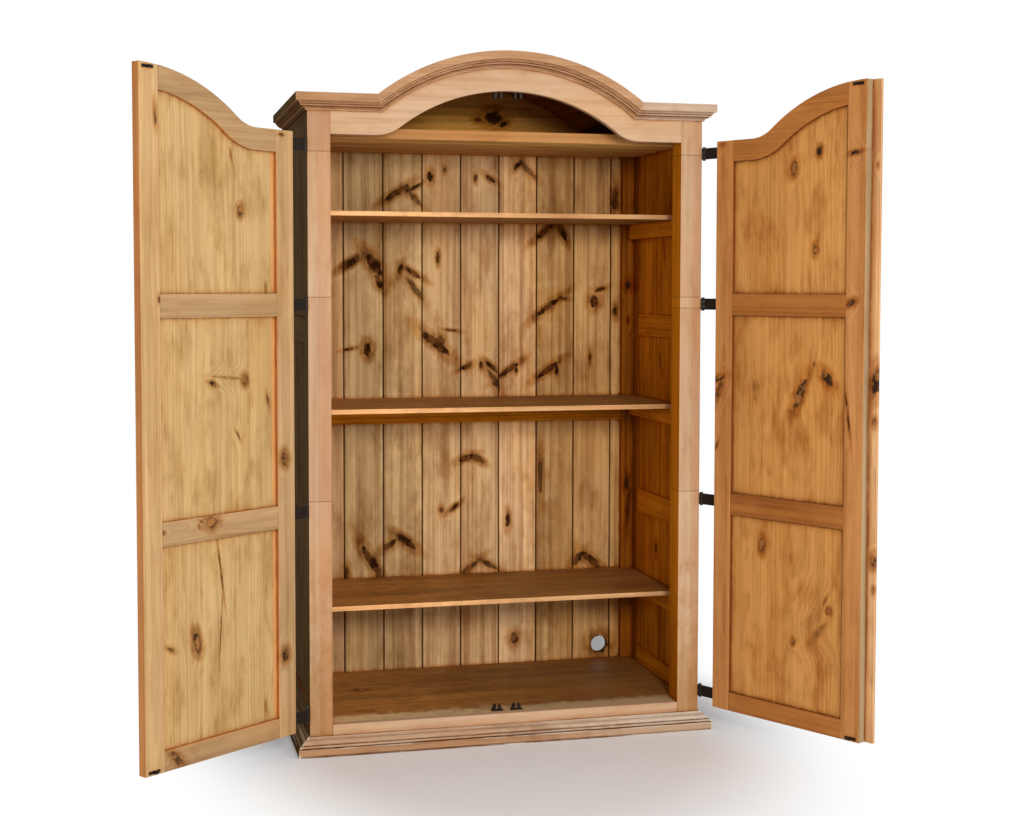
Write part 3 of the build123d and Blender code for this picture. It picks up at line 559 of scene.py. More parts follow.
@dataclass
class Board:
    """What a pine material needs to know about one board. Lengths are in millimetres.

    A wood is a pale and a deep colour. The pith lies across and deep from the board's middle. The joints
    are places along the board and the strips are places across it. The edge wood is on the narrow faces.
    The wood for outward faces lies on the faces turned outward, which is away from the case's middle plane
    where no direction is given. On the case it is a darker wood that paints the shade on the outer sides; on
    the doors it is the outer faces' own wood.
    """
    node: str
    axes: Matrix
    wood: tuple
    knots: tuple = ()
    origin: Vector = CASE_ORIGIN
    seed: float = 0.0
    rings: float = 190
    ring_contrast: float = 0.35
    streaks: float = 0.5
    clouds: float = 0.35
    cloud: tuple = (0.60, 0.48, 0.36)
    pith: tuple = (12, 90)
    joints: tuple = ()
    strips: tuple = ()
    edge: tuple = ()
    outside: tuple = ()
    outward: Vector = Vector()
    bands: tuple = ()
    # How strongly corners darken, with the reach, open, shut and warm colour below: partly wax, partly painted
    # shade
    grime: float = 0.8
    reach: float = 14
    open: float = 0.7
    shut: float = 0.35
    glaze: tuple = (0.90, 0.62, 0.38)
    wear: float = 0.0
    planks: bool = False
    heart: tuple = ()
    # A darker colour for the corners than the usual one: partly dirt, partly painted shade
    dirt_and_shade: tuple = ()
    shine: float = 0.12


def board_centre(board):
    """The board's middle in its own axes, measured from its origin."""
    low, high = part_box(board.node)
    return board.axes @ ((low + high) / 2 - board.origin)


RED_PLANK = (1.05, 0.95, 0.90)
YELLOW_PLANK = (0.97, 1.02, 0.93)
DARK_PLANK = ((0.72, 0.68, 0.60), (0.74, 0.68, 0.60))


def plank_wood(tree, plank, wood):
    """The back's pale and deep colours, which change from plank to plank."""
    hue = mix(tree, plank["Second Tone"], RED_PLANK, YELLOW_PLANK)
    for shade, dark in zip(wood, DARK_PLANK):
        yield tinted(tree, mix(tree, plank["Tone"], tinted(tree, shade, dark), shade), hue)


def face_wood(tree, board, texture, wood):
    """The colours, with those of the narrow faces and of the faces turned outward mixed in."""
    def facing(way):
        return vectors(tree, "DOT_PRODUCT", texture["Normal"], way)

    if board.edge:
        side = fade(tree, maths(tree, "ABSOLUTE", facing(board.axes[0])), 0.6, 0.8)
        wood = [mix(tree, side, *pair) for pair in zip(wood, board.edge)]
    # On the case the outward faces get a darker wood as painted shade; on the doors, the outer faces' own wood
    if board.outside:
        if board.outward.length:
            faced = facing(board.outward)
        else:
            flank = maths(tree, "SIGN", take_apart(tree, texture["Object"])["X"])
            faced = times(tree, flank, facing(ACROSS_X))
        outward = fade(tree, faced, 0.35, 0.75)
        wood = [mix(tree, outward, *pair) for pair in zip(wood, board.outside)]
    return wood


PAST_JOINT = (0.93, 0.90, 0.88)
PAST_STRIP = (1.0, 0.90, 0.84)


def add_joints(tree, tint, board, parts, centre, grime):
    """Glued joints across the board and along it, each with its change of tone."""
    for places, part, shift, change, depth in (
            (board.joints, parts["Z"], centre.z, PAST_JOINT, 0.6),
            (board.strips, parts["X"], centre.x, PAST_STRIP, 0.12)):
        lines = {"Line": 0.0, "Side": 0.0}
        for place in places:
            out = place_group(tree, "Glue line", {"Coordinate": part, "Place": place * MM - shift, **lines})
            lines = {"Line": out["Line"], "Side": out["Side"]}
        if places:
            tint = mix(tree, lines["Side"], tint, tinted(tree, tint, change))
            tint = mix(tree, times(tree, lines["Line"], depth), tint, grime)
    return tint


def add_bands(tree, tint, board, vector, parts, centre):
    """Bands of stain, wear, painted light and painted shade, with ragged starts."""
    if not board.bands:
        return tint
    ragged = minus(tree, noise(tree, vector, 22.0, 4.0, 0.6).outputs["Fac"], 0.5)
    for band in board.bands:
        shift = getattr(centre, band.part.lower())
        spread = abs(band.end - band.start) * MM
        place = plus(tree, parts[band.part], times(tree, ragged, spread * 1.6))
        mask = fade(tree, place, band.start * MM - shift, band.end * MM - shift, 0.0, band.amount)
        tint = mix(tree, mask, tint, band.change, band.blend)
    return tint


def new_material(name):
    """An empty material and its tree."""
    material = bpy.data.materials.new(name)
    material.use_nodes = True
    material.node_tree.nodes.clear()
    return material, material.node_tree


def pine_material(board, colours):
    """One board's pine: grain, knots, glued joints, bands of stain, wear, painted light and painted shade, and
    dark wax with painted shade in the corners, in the board's own axes.
    """
    material, tree = new_material(f"pine {board.node}")
    centre = board_centre(board)
    texture = add(tree, "ShaderNodeTexCoord").outputs
    start = -(board.axes @ board.origin) - centre
    vector = add(tree, "ShaderNodeMapping", {"Vector": texture["Object"], "Location": start,
                                             "Rotation": board.axes.to_euler()}).outputs[0]
    parts = take_apart(tree, vector)
    grain = vector
    wood = [(*shade, 1) for shade in board.wood]
    if board.planks:
        plank = place_group(tree, "Planks", {"Vector": vectors(tree, "ADD", vector, (centre.x, 0, 0))})
        grain = plank["Vector"]
        wood = plank_wood(tree, plank, board.wood)
    pale, deep = face_wood(tree, board, texture, wood)
    made = place_group(tree, "Pine", {
        "Vector": grain, "Seed": board.seed, "Pith": (board.pith[0] * MM, board.pith[1] * MM, 0),
        "Rings": board.rings, "Ring Contrast": board.ring_contrast, "Streaks": board.streaks,
        "Clouds": board.clouds, "Cloud Color": (*board.cloud, 1), "Pale": pale, "Deep": deep,
        "Knot Color": (*(board.heart or colours.knot), 1), "Rim Color": (*colours.knot_rim, 1),
        **knot_chain(tree, vector, board.knots, centre)})
    tint = add_joints(tree, made["Color"], board, parts, centre, colours.grime)
    tint = add_bands(tree, tint, board, vector, parts, centre)
    if board.planks:
        tint = mix(tree, times(tree, plank["Joint"], 0.8), tint, colours.grime)
    # Wax and painted shade round and in the corners, where nearby surfaces shut the light out
    tint = place_group(tree, "Grime", {
        "Vector": vector, "Color": tint, "Grime": (*(board.dirt_and_shade or colours.grime), 1),
        "Glaze": (*board.glaze, 1), "Distance": board.reach * MM, "Amount": board.grime,
        "Open": board.open, "Shut": board.shut})["Color"]
    if board.wear:
        worn = place_group(tree, "Wear", {"Vector": vector, "Amount": board.wear})["Mask"]
        tint = mix(tree, worn, tint, colours.worn)
    bump = add(tree, "ShaderNodeBump", {"Height": made["Height"], "Strength": GRAIN_STRENGTH,
                                        "Distance": GRAIN_DEPTH})
    shader = add(tree, "ShaderNodeBsdfPrincipled", {
        "Base Color": tint, "Roughness": made["Roughness"], "Normal": bump.outputs[0],
        "Specular IOR Level": board.shine})
    add(tree, "ShaderNodeOutputMaterial", {"Surface": shader.outputs[0]})
    return material


def dress(node, material):
    """Gives a CAD node its material."""
    mesh = NODES[node].data
    mesh.materials.clear()
    mesh.materials.append(material)


def dress_boards(boards, colours):
    for board in boards:
        dress(board.node, pine_material(board, colours))


# ------------------------------------------------------------------ knots
# The planks' knots are strokes from one pixel to another, then each one's width in pixels and its strength
PLANK_STROKES = (
    (343.9, 266.7, 358.6, 257.1, 3, 1.3), (366.7, 254.9, 380.6, 274, 5), (376.9, 276.9, 382.1, 287.2, 3.5),
    (367.4, 345.5, 367.4, 353.5, 4, 1.3), (343.9, 350.3, 353.5, 348.1, 1.5, 0.95),
    (398.9, 274, 401.9, 265.2, 2.5), (407, 268.9, 420.9, 277.7, 2.5),
    (407.7, 278.4, 420.9, 297.5, 3.5, 0.55), (437.8, 253, 437.8, 262, 1.8, 0.95),
    (423.5, 333, 447, 353, 4.4, 0.95), (440.8, 338, 440.8, 345, 4, 0.8),
    (445.9, 329.7, 457.6, 331.2, 1.5, 0.7), (461.3, 368.6, 470.8, 364.2, 2.5, 0.95),
    (481.1, 362, 481.1, 368, 2), (487, 362.8, 496.5, 370.8, 2.5), (488.4, 370.8, 498.7, 388.4, 3.4, 0.7),
    (499.4, 376.7, 517.8, 363.5, 2.5, 0.95), (516.3, 368, 516.3, 372, 1.6), (537.6, 315.1, 558.8, 298.2, 3),
    (558.8, 298.2, 566.5, 299, 2, 0.95), (538.3, 376.7, 557, 362.8, 3), (556.6, 366, 556.6, 374, 2),
    (537.2, 238, 551, 225.8, 3), (559.6, 225.8, 565.6, 239.6, 3, 0.95), (594, 297, 594, 305, 5),
    (595.8, 291.2, 604.4, 287.8, 2, 0.95), (589.8, 353, 589.8, 361, 1.5, 0.8), (614.7, 192, 614.7, 207, 4),
    (614.7, 308, 614.7, 315, 2.5), (429.9, 173, 429.9, 180, 3, 0.95), (444.7, 168, 444.7, 172, 1.6, 0.95),
    (475.5, 175, 475.5, 181, 1.8, 0.8), (486.2, 175.7, 495.6, 182.4, 2.4, 0.8),
    (514.3, 169, 519.7, 162.3, 2.4, 0.95), (519.7, 161, 535.7, 178.4, 3, 0.45),
    (385.7, 199.8, 405.8, 186.4, 3, 0.95), (407.2, 185, 407.2, 192, 2.5),
    (407, 191.8, 420.5, 183.8, 2, 0.8), (409.8, 193.1, 420.5, 205.2, 3, 0.55),
    (363.5, 547.2, 379.1, 574, 4), (346.7, 568, 346.7, 578, 3, 0.8), (383.6, 549.5, 394.7, 540.5, 3.5, 0.8),
    (399.2, 536, 413.7, 547.2, 3.5), (441, 508, 441.6, 512, 2), (449.4, 511.5, 458.3, 503.7, 2),
    (460.6, 460.2, 472.9, 455.7, 3), (472.9, 455.7, 481.8, 461.3, 3), (507.5, 514, 507.5, 526, 2.5, 0.95),
    (540, 454.5, 540.4, 492.5, 2.7, 0.55), (463.9, 572, 479, 560, 3, 0.7), (480, 560, 495.2, 568, 3, 0.7),
    (573.3, 563, 582, 553, 4, 0.8), (584, 553, 597.9, 566, 4, 0.95),
)
# Round knots: the pixel of the middle, and then the half sizes, lean and strength that knot() takes
ARCH_SPOTS = ((492.9, 118.1, 21, 27), (503.6, 124.8, 9, 14, 30, 0.9), (478, 119.5, 9, 13, 0, 0.7))
FLOOR_SPOTS = ((360, 690, 12, 22, 0, 0.7), (460, 685, 8, 16, 0, 0.5), (366, 711, 9, 17, 0, 0.6))
LEFT_SPOTS = {
    "upper_panel": ((242.4, 210, 9, 13), (233, 155, 3, 12, 12, 0.7), (268, 290, 3, 12, 0, 0.7)),
    "middle_panel": (
        (247, 380, 8, 12), (215, 384, 5, 12, 68, 0.9), (229.8, 377.7, 3, 50, 84, 0.35),
        (240, 435, 3, 14, 30, 0.5), (270, 400, 4, 18, 10, 0.5)),
    "lower_rail": (
        (211.5, 523, 13, 17), (202.8, 522.2, 3, 9, 20, 0.8), (199.3, 526.8, 3, 6, 60, 0.8), (162.3, 533, 4, 6)),
    "lower_panel": (
        (199, 643, 11, 25, 12), (222.5, 566.5, 2.2, 66, 8, 0.8), (223.3, 626.6, 1.6, 80, -4, 0.6),
        (173, 650.2, 6, 14, 60, 0.5), (268, 707, 4, 16, 0, 0.5)),
    "hinge_stile": ((284.7, 458.7, 11, 16, 10), (285.6, 655, 12, 16, 0, 0.9)),
    "meeting_stile": ((155, 114, 4, 24, 4, 0.7),),
    "bottom_rail": ((178, 760, 9, 30, 50, 0.7),),
}
RIGHT_SPOTS = {
    "upper_panel": ((817.5, 151, 8, 12, 10), (792.5, 168, 10, 19, 14), (813.5, 250, 8, 13, 0, 0.9)),
    "middle_panel": (
        (798, 394.3, 12, 46, 24), (825, 378, 12, 26, -42, 0.9), (812.1, 365, 4, 6, 0, 0.8),
        (754, 390, 13, 30, 0, 0.3)),
    "lower_panel": (
        (760, 545, 9, 19), (826.7, 611.7, 6, 8), (790.7, 641.7, 6, 8), (807.5, 623, 22, 70, 42, 0.1)),
    "meeting_stile": ((853.1, 153, 5, 20, 80), (851.1, 303, 8, 15, 64, 0.8), (847.6, 414.1, 3, 62, -8, 0.8)),
    "hinge_stile": ((718, 378.5, 8, 26, 70, 0.7), (717, 445, 3, 14, 20, 0.6)),
    "astragal": ((870.2, 383, 12, 34, 10), (867.7, 562, 10, 16, 0)),
}
# The knots from here on are rows of what knot() takes
PLANK_KNOTS = knots((168, 169, 14, 20, 0, 0.8), (*CABLE_HOLE, CABLE_HOLE_RADIUS, CABLE_HOLE_RADIUS))
LEFT_KNOTS = {
    "hinge_stile": knots((118, 1786, 8, 4, 0, 0.6)),
    "meeting_stile": knots((545, 1330, 5, 9, 0, 0.7)),
}
RIGHT_KNOTS = {
    "lower_panel": knots((452, 372, 9, 44, 40, 0.3), (478, 470, 4, 14, 30, 0.4)),
    "hinge_stile": knots((90, 1050, 10, 34, 20, 0.5), (96, 1788, 9, 4, 0, 0.5)),
    "astragal": knots((622, 990, 6, 12, 0, 0.7), (626, 520, 4, 8, 0, 0.7), (622, 1700, 4, 8, 0, 0.5)),
}
BACK_POST_KNOTS = knots(
    (562, 1370, 11, 14), (562, 1250, 4, 9, 0, 0.6), (560, 690, 9, 22, 0, 0.8), (566, 610, 6, 60, 4, 0.6))
SIDE_PANEL_KNOTS = knots((330, 1120, 7, 26, 24, 0.6), (300, 1490, 6, 30, 10, 0.5), (360, 500, 9, 18, 0, 0.6))

# Each board of a door, its wood and the wood of its narrow faces, by their keys in the door's look
DOOR_BOARDS = (
    ("hinge_stile", "stile", "edge"), ("meeting_stile", "stile", "free_edge"), ("top_rail", "rail", "edge"),
    ("upper_rail", "rail", "edge"), ("lower_rail", "rail", "edge"), ("bottom_rail", "rail", "edge"),
    ("upper_panel", "panel", ""), ("middle_panel", "panel", ""), ("lower_panel", "panel", ""))


# ------------------------------------------------------------------ operators
class CABINET_OT_groups(bpy.types.Operator):
    """Make the shader groups that the finishes share"""
    bl_idname = "cabinet.groups"
    bl_label = "Shader groups"

    def execute(self, context):
        make_knot_group()
        make_pine_group()
        make_wax_and_shade_group()
        make_wear_group()
        make_plank_group()
        make_glue_group()
        return {"FINISHED"}


class CABINET_OT_case(bpy.types.Operator):
    """Finish the posts and the rails of the case front"""
    bl_idname = "cabinet.case"
    bl_label = "Case front"

    def execute(self, context):
        c = context.scene.cabinet_pine
        # The posts' outer sides take the darker wood of the case's outer sides, as painted shade
        shared = {"wood": c.wood("case"), "outside": c.wood("outside"), "clouds": 0.5,
                  "cloud": (0.84, 0.76, 0.66), "rings": 130, "ring_contrast": 0.22, "streaks": 0.32,
                  "shine": 0.0}
        # The posts turn darker and yellower towards the bottom, and greyer towards the top
        darker_post_ends = (Band("Z", 560, 100, (0.80, 0.70, 0.52)), Band("Z", 1650, 1800, (0.90, 0.90, 0.92), 0.7))
        post = {"axes": UPRIGHT, "edge": c.wood("inside"), "bands": darker_post_ends, **shared}
        dress_boards([
            Board("left_front_post", seed=3.1, joints=(741, 1333, 1751), strips=(-570,), **post),
            Board("right_front_post", seed=8.4, joints=(738, 1300, 1333, 1764), strips=(572,), **post),
            Board("arched_front_rail", LEVEL, seed=5.2, pith=(-60, 50), **shared),
            Board("bottom_front_rail", LEVEL, seed=1.7, **shared),
        ], c)
        return {"FINISHED"}


class CABINET_OT_inside(bpy.types.Operator):
    """Finish the planked back, the side walls, the shelves and the bonnet"""
    bl_idname = "cabinet.inside"
    bl_label = "Inside"

    def execute(self, context):
        c = context.scene.cabinet_pine
        # The outer faces of the side walls, rails and back posts take the darker wood, as painted shade
        inside = {"wood": c.wood("inside"), "outside": c.wood("outside"), "clouds": 0.6, "shine": 0.0}
        corner = {**inside, "axes": UPRIGHT, "wood": c.wood("corner")}
        shelf = {"axes": SHELF, "wood": c.wood("shelf"), "edge": c.wood("shelf_edge"), "clouds": 0.5}
        # Painted shade: the back planks turn darker towards both side walls
        painted_shade_at_sides = (Band("X", -100, -340, (0.74, 0.72, 0.68)), Band("X", 130, 340, (0.82, 0.68, 0.50)))
        lit = (Band("Z", 200, -560, (1.55, 1.52, 1.5)),)
        # A worn pale strip along the floor's front, and the painted light that makes it lighter towards the
        # left, as on the shelves
        worn_front_and_painted_light = (Band("X", 112, 50, c.floor_worn, 0.55, "MIX"), *lit)
        studio = context.scene.cabinet_studio
        planks = Face(studio, UPRIGHT, ACROSS_Y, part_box("back_planks")[0].y - CASE_FRONT)
        arch = Face(studio, LEVEL, ACROSS_Y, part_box("arched_back_board")[0].y - CASE_FRONT)
        floor = Face(studio, SHELF, UP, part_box("floor_board")[1].z)
        plank_knots = [planks.stroke(*row) for row in PLANK_STROKES]
        arch_knots = [arch.spot(*row) for row in ARCH_SPOTS]
        floor_knots = [floor.spot(*row) for row in FLOOR_SPOTS]
        boards = [
            Board("back_planks", UPRIGHT, c.wood("plank"), (*plank_knots, *PLANK_KNOTS), seed=2.3,
                  planks=True, pith=(20, 75), rings=120, ring_contrast=0.14, bands=painted_shade_at_sides, clouds=0.8,
                  streaks=0.5, heart=c.plank_knot, shine=0.0),
            Board("arched_back_board", LEVEL, c.wood("arch"), arch_knots, seed=4.4, pith=(10, 40),
                  heart=c.knot_rim, clouds=0.6, shine=0.0),
            Board("back_middle_rail", LEVEL, seed=6.6, **inside),
            Board("ceiling_board", SHELF, c.wood("ceiling"), seed=9.2, clouds=0.5,
                  edge=c.wood("ceiling_edge")),
            Board("floor_board", knots=floor_knots, seed=7.7, pith=(60, -60), bands=worn_front_and_painted_light, **shelf),
            Board("floor_bearer", SIDE_LEVEL, c.wood("shelf"), seed=3.9),
            Board("side_rails", SIDE_LEVEL, seed=5.5, **inside),
            Board("side_panels", SIDE_UPRIGHT, seed=8.8, pith=(30, 70), knots=SIDE_PANEL_KNOTS, **inside),
            Board("shelf_cleats", SIDE_LEVEL, seed=2.2, **inside),
            Board("left_back_post", seed=6.1, **corner),
            Board("right_back_post", knots=BACK_POST_KNOTS, seed=1.9, heart=c.knot_rim, **corner),
            Board("bonnet_roof", SIDE_LEVEL, c.wood("shelf"), seed=4.9, shine=0.0),
        ]
        for number, name in enumerate(("upper_shelf", "middle_shelf", "lower_shelf")):
            boards.append(Board(name, seed=3.3 * number + 1, pith=(80, -70), bands=lit, **shelf))
        dress_boards(boards, c)
        return {"FINISHED"}


class CABINET_OT_mouldings(bpy.types.Operator):
    """Finish the cornice and the base moulding"""
    bl_idname = "cabinet.mouldings"
    bl_label = "Mouldings"

    def execute(self, context):
        c = context.scene.cabinet_pine
        fascia = Band("X", 34, 27, (0.76, 0.64, 0.54))
        bands = {"cornice_right": (Band("Z", 200, 560, c.worn, 0.4, "MIX"),),
                 "base_front_moulding": (Band("Z", -100, 500, c.worn, 0.6, "MIX"), fascia),
                 "base_left_moulding": (fascia,), "base_right_moulding": (fascia,)}
        boards = []
        for name in ("cornice_left", "cornice_arch", "cornice_right", "cornice_left_return",
                     "cornice_right_return", "base_front_moulding", "base_left_moulding",
                     "base_right_moulding"):
            kind = name.split("_")[0]
            along_side = name.endswith("return") or name in ("base_left_moulding", "base_right_moulding")
            # The side mouldings' outer faces take the darker wood of the case's outer sides, as painted shade
            outside = c.wood("outside") if "left" in name or "right_" in name else ()
            boards.append(Board(
                name, SIDE_LEVEL if along_side else LEVEL, c.wood(kind), seed=2.1 * len(boards) + 0.7,
                # Dark brown in the grooves: partly wax, partly painted shade
                outside=outside, pith=(20, 60), grime=1.5, reach=8, open=0.95, shut=0.76,
                wear=0.1 if kind == "cornice" else 0.95, streaks=0.3, clouds=0.5, dirt_and_shade=c.groove,
                bands=bands.get(name, ()), glaze=(0.84, 0.56, 0.34), shine=0.0))
        dress_boards(boards, c)
        return {"FINISHED"}


class CABINET_OT_doors(bpy.types.Operator):
    """Finish the frames and the panels of both doors"""
    bl_idname = "cabinet.doors"
    bl_label = "Doors"

    def execute(self, context):
        c = context.scene.cabinet_pine
        # Each door's warm colour and open value set how its corners warm and darken: partly wax, partly painted
        # shade
        looks = {
            "left": {"spots": LEFT_SPOTS, "knots": LEFT_KNOTS, "seed": 11.0,
                     "free_edge": c.wood("left_edge"), "outward": -1, "glaze": (0.96, 0.70, 0.44),
                     "cloud": (0.72, 0.66, 0.52), "rim": 14, "amount": 0.6, "open": 0.82},
            "right": {"spots": RIGHT_SPOTS, "knots": RIGHT_KNOTS, "seed": 47.0,
                      "free_edge": c.wood("right_free_edge"), "outward": 1, "glaze": (0.80, 0.55, 0.34),
                      "cloud": (0.66, 0.50, 0.32), "rim": 3, "amount": 0.3, "open": 0.94}}

        def knots_of(part, axes):
            face = Face(context.scene.cabinet_studio, axes, -outward, DOOR_FACE, origin)
            seen = [face.spot(*row) for row in look["spots"].get(part, ())]
            return (*seen, *look["knots"].get(part, ()))

        for side, look in looks.items():
            look.update({kind: c.wood(f"{side}_{kind}") for kind in ("stile", "rail", "panel", "edge")})
            door = f"{side}_door"
            run = door_axis(door)
            origin = joint_of(door)
            outward = look["outward"] * UP.cross(run)
            shared = {"origin": origin, "glaze": look["glaze"], "cloud": look["cloud"],
                      "outside": c.wood("outer"), "outward": outward}
            axes = {"stile": board_axes(run, UP), "rail": board_axes(UP, run), "panel": board_axes(run, UP)}
            middle = sum(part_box(f"{door}_hinge_stile"), Vector()) / 2
            hinge_side = (middle - origin).dot(run) / MM + STILE_HALF
            rim = hinge_side + look["rim"]
            stained_rim = (Band("X", rim + 4, rim - 3, look["edge"][0], look["amount"], "MIX"),)
            shaded = (Band("X", hinge_side + 30, hinge_side, (0.86, 0.86, 0.88)),)
            boards = []
            for number, (part, kind, edge) in enumerate(DOOR_BOARDS):
                special = {"clouds": 0.4, "streaks": 0.4}
                if kind == "panel":
                    special = {"clouds": 0.9, "pith": (30, 120), "rings": 120, "ring_contrast": 0.4,
                               "streaks": 0.3, "bands": stained_rim, "reach": 26, "open": look["open"],
                               "shut": 0.4}
                elif side == "left" and part == "hinge_stile":
                    special["bands"] = shaded
                boards.append(Board(f"{door}_{part}", axes[kind], look[kind], knots_of(part, axes[kind]),
                                    seed=look["seed"] + number, edge=look.get(edge, ()), **special, **shared))
            if side == "right":
                boards.append(Board("right_door_astragal", axes["stile"], c.wood("astragal"),
                                    knots_of("astragal", axes["stile"]), seed=59.0, **shared))
            dress_boards(boards, c)
        return {"FINISHED"}


def iron_material(settings):
    """Blacked iron: hammered unevenness, rust on its raised patches, and a shine that changes with a fine
    grain.
    """
    material, tree = new_material("blacked iron")
    position = add(tree, "ShaderNodeTexCoord").outputs["Object"]
    hammered = noise(tree, position, 160.0, 3.0, 0.55).outputs["Fac"]
    fine = noise(tree, position, 900.0, 2.0).outputs["Fac"]
    rust = fade(tree, hammered, 0.55, 0.75, 0.0, 0.6)
    tint = mix(tree, rust, settings.black, settings.rust)
    rough = plus(tree, 0.42, times(tree, fine, 0.25))
    height = plus(tree, hammered, times(tree, fine, 0.2))
    bump = add(tree, "ShaderNodeBump", {"Height": height, "Strength": 0.4, "Distance": HAMMER_DEPTH})
    shader = add(tree, "ShaderNodeBsdfPrincipled", {"Base Color": tint, "Roughness": rough,
                                                    "Normal": bump.outputs[0], "Metallic": 0.7})
    add(tree, "ShaderNodeOutputMaterial", {"Surface": shader.outputs[0]})
    return material


class CABINET_OT_iron(bpy.types.Operator):
    """Finish the hinges, the catches and the pulls"""
    bl_idname = "cabinet.iron"
    bl_label = "Ironwork"

    def execute(self, context):
        iron = iron_material(context.scene.cabinet_iron)
        endings = ("_leaves", "_pins", "_screws", "_clips", "_straps", "_spears", "_pull")
        for node in NODES:
            if node.endswith(endings):
                dress(node, iron)
        return {"FINISHED"}


# ------------------------------------------------------------------ stage
FLOOR_REACH = 40.0
FLOOR_DROP = 0.5 * MM
# How far the shadow drifts to the right on its way back, and where the floor starts and ends to turn white
SHADOW_DRIFT = 0.25
WHITE_START, WHITE_END = 0.56, 1.05
LAMP_AIM = Vector((0, 0, 1))
SKY_AHEAD = Vector((0.35, -0.9, 0.25)).normalized()
SKY_BEHIND = 0.4
CLIP_END = 100


def lamp(name, place, size, power):
    """A square area lamp at a place, turned to the middle of the cabinet."""
    data = bpy.data.lights.new(name, "AREA")
    data.shape = "RECTANGLE"
    data.size = data.size_y = size
    data.energy = power
    made = bpy.data.objects.new(name, data)
    made.location = place
    made.rotation_euler = (LAMP_AIM - Vector(place)).to_track_quat("-Z", "Y").to_euler()
    bpy.context.scene.collection.objects.link(made)


def make_floor(settings):
    """A wide pale floor that keeps the cabinet's shadow near it and turns plain white farther out."""
    mesh = bpy.data.meshes.new("studio floor")
    ends = (-FLOOR_REACH, FLOOR_REACH)
    mesh.from_pydata([(x, y, -FLOOR_DROP) for y in ends for x in ends], [], [(0, 1, 3, 2)])
    made = bpy.data.objects.new("studio_floor", mesh)
    bpy.context.scene.collection.objects.link(made)
    material, tree = new_material("studio floor")
    position = add(tree, "ShaderNodeTexCoord").outputs["Object"]
    cloudy = noise(tree, position, 0.8, 3.0).outputs["Fac"]
    tint = mix(tree, times(tree, cloudy, 0.05), settings.floor, (0.7, 0.7, 0.7))
    shader = add(tree, "ShaderNodeBsdfPrincipled", {"Base Color": tint, "Roughness": 0.8})
    glow = add(tree, "ShaderNodeEmission", {"Color": (1, 1, 1, 1), "Strength": 1.0})
    path = add(tree, "ShaderNodeLightPath").outputs
    seen = maths(tree, "MAXIMUM", path["Is Camera Ray"], path["Is Glossy Ray"])
    place = take_apart(tree, position)
    drift = times(tree, maths(tree, "MAXIMUM", place["Y"], 0.0), SHADOW_DRIFT)
    beside = minus(tree, place["X"], drift)
    beside = times(tree, beside, fade(tree, place["Y"], 0.0, 0.4, 1.0, 1.25))
    before = fade(tree, place["Y"], 0.0, 0.4, 0.6, 0.0)
    behind = fade(tree, place["Y"], 1.5, 2.3, 0.0, 0.6)
    depth = times(tree, place["Y"], plus(tree, before, behind))
    away = vectors(tree, "LENGTH", add(tree, "ShaderNodeCombineXYZ", {"X": beside, "Y": depth}).outputs[0])
    far = times(tree, fade(tree, away, WHITE_START, WHITE_END), seen)
    both = add(tree, "ShaderNodeMixShader", {"Fac": far, 1: shader.outputs[0], 2: glow.outputs[0]})
    add(tree, "ShaderNodeOutputMaterial", {"Surface": both.outputs[0]})
    mesh.materials.append(material)


def make_sky(settings):
    """Soft light from the front and above, little from behind; camera and gloss rays see plain white."""
    world = bpy.data.worlds.new("studio")
    world.use_nodes = True
    bpy.context.scene.world = world
    tree = world.node_tree
    tree.nodes.clear()
    path = add(tree, "ShaderNodeLightPath").outputs
    seen = maths(tree, "MAXIMUM", path["Is Camera Ray"], path["Is Transmission Ray"])
    seen = maths(tree, "MAXIMUM", seen, path["Is Glossy Ray"])
    direction = add(tree, "ShaderNodeTexCoord").outputs["Generated"]
    ahead = vectors(tree, "DOT_PRODUCT", direction, SKY_AHEAD)
    light = fade(tree, ahead, -0.4, 0.9, settings.sky * SKY_BEHIND, settings.sky)
    strength = add(tree, "ShaderNodeMix", {"Factor": seen, "A": light, "B": 1.0}).outputs[0]
    shader = add(tree, "ShaderNodeBackground", {"Color": (1, 1, 1, 1), "Strength": strength})
    add(tree, "ShaderNodeOutputWorld", {"Surface": shader.outputs[0]})


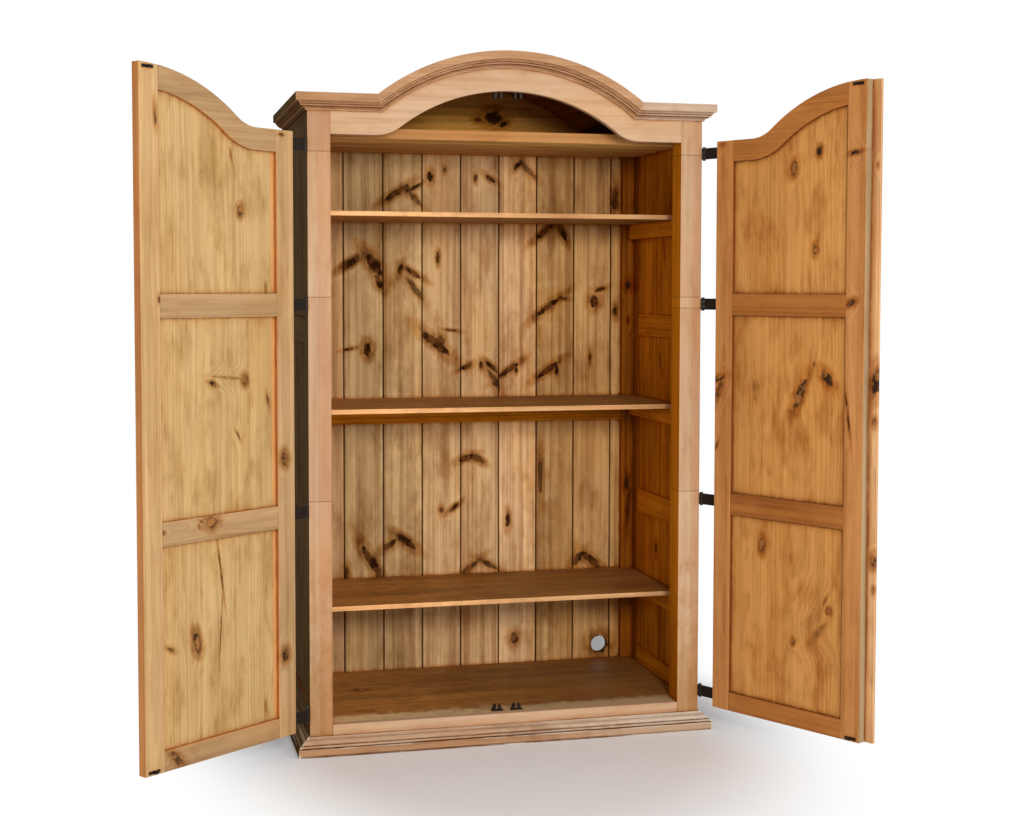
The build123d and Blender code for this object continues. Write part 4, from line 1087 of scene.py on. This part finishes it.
def make_camera(settings):
    right, above, ahead = camera_axes(settings)
    data = bpy.data.cameras.new("camera")
    data.sensor_width = SENSOR
    data.lens = settings.lens
    data.shift_y = settings.shift
    data.clip_end = CLIP_END
    made = bpy.data.objects.new("camera", data)
    turned = Matrix((right, above, -ahead)).transposed().to_4x4()
    made.matrix_world = Matrix.Translation(Vector(settings.camera)) @ turned
    bpy.context.scene.collection.objects.link(made)
    bpy.context.scene.camera = made


class CABINET_OT_stage(bpy.types.Operator):
    """Make the floor, the sky, the lamps and the camera"""
    bl_idname = "cabinet.stage"
    bl_label = "Stage"

    def execute(self, context):
        settings = context.scene.cabinet_studio
        make_floor(settings)
        make_sky(settings)
        make_camera(settings)
        lamp("key", (-0.3, -5.2, 2.1), 0.8, settings.key)
        lamp("fill", (2.2, -4.6, 1.6), 2.4, settings.fill)
        context.scene.view_settings.view_transform = "Standard"
        return {"FINISHED"}


class CABINET_PT_panel(bpy.types.Panel):
    """Lists what makes the cabinet"""
    bl_idname = "CABINET_PT_panel"
    bl_label = "Cabinet"
    bl_space_type = "VIEW_3D"
    bl_region_type = "UI"
    bl_category = "Cabinet"

    def draw(self, context):
        for operator in OPERATORS:
            self.layout.operator(operator.bl_idname)


OPERATORS = (CABINET_OT_groups, CABINET_OT_case, CABINET_OT_inside, CABINET_OT_mouldings, CABINET_OT_doors,
             CABINET_OT_iron, CABINET_OT_stage)
SETTINGS = {"cabinet_pine": PineColours, "cabinet_iron": IronSettings, "cabinet_studio": StudioSettings}


def register():
    for kind in (*SETTINGS.values(), *OPERATORS, CABINET_PT_panel):
        bpy.utils.register_class(kind)
    for name, kind in SETTINGS.items():
        setattr(bpy.types.Scene, name, bpy.props.PointerProperty(type=kind))


def unregister():
    for name in SETTINGS:
        delattr(bpy.types.Scene, name)
    for kind in reversed((*SETTINGS.values(), *OPERATORS, CABINET_PT_panel)):
        bpy.utils.unregister_class(kind)


def main():
    register()
    bpy.ops.cabinet.groups()
    bpy.ops.cabinet.case()
    bpy.ops.cabinet.inside()
    bpy.ops.cabinet.mouldings()
    bpy.ops.cabinet.doors()
    bpy.ops.cabinet.iron()
    bpy.ops.cabinet.stage()


if __name__ == "__main__":
    main()
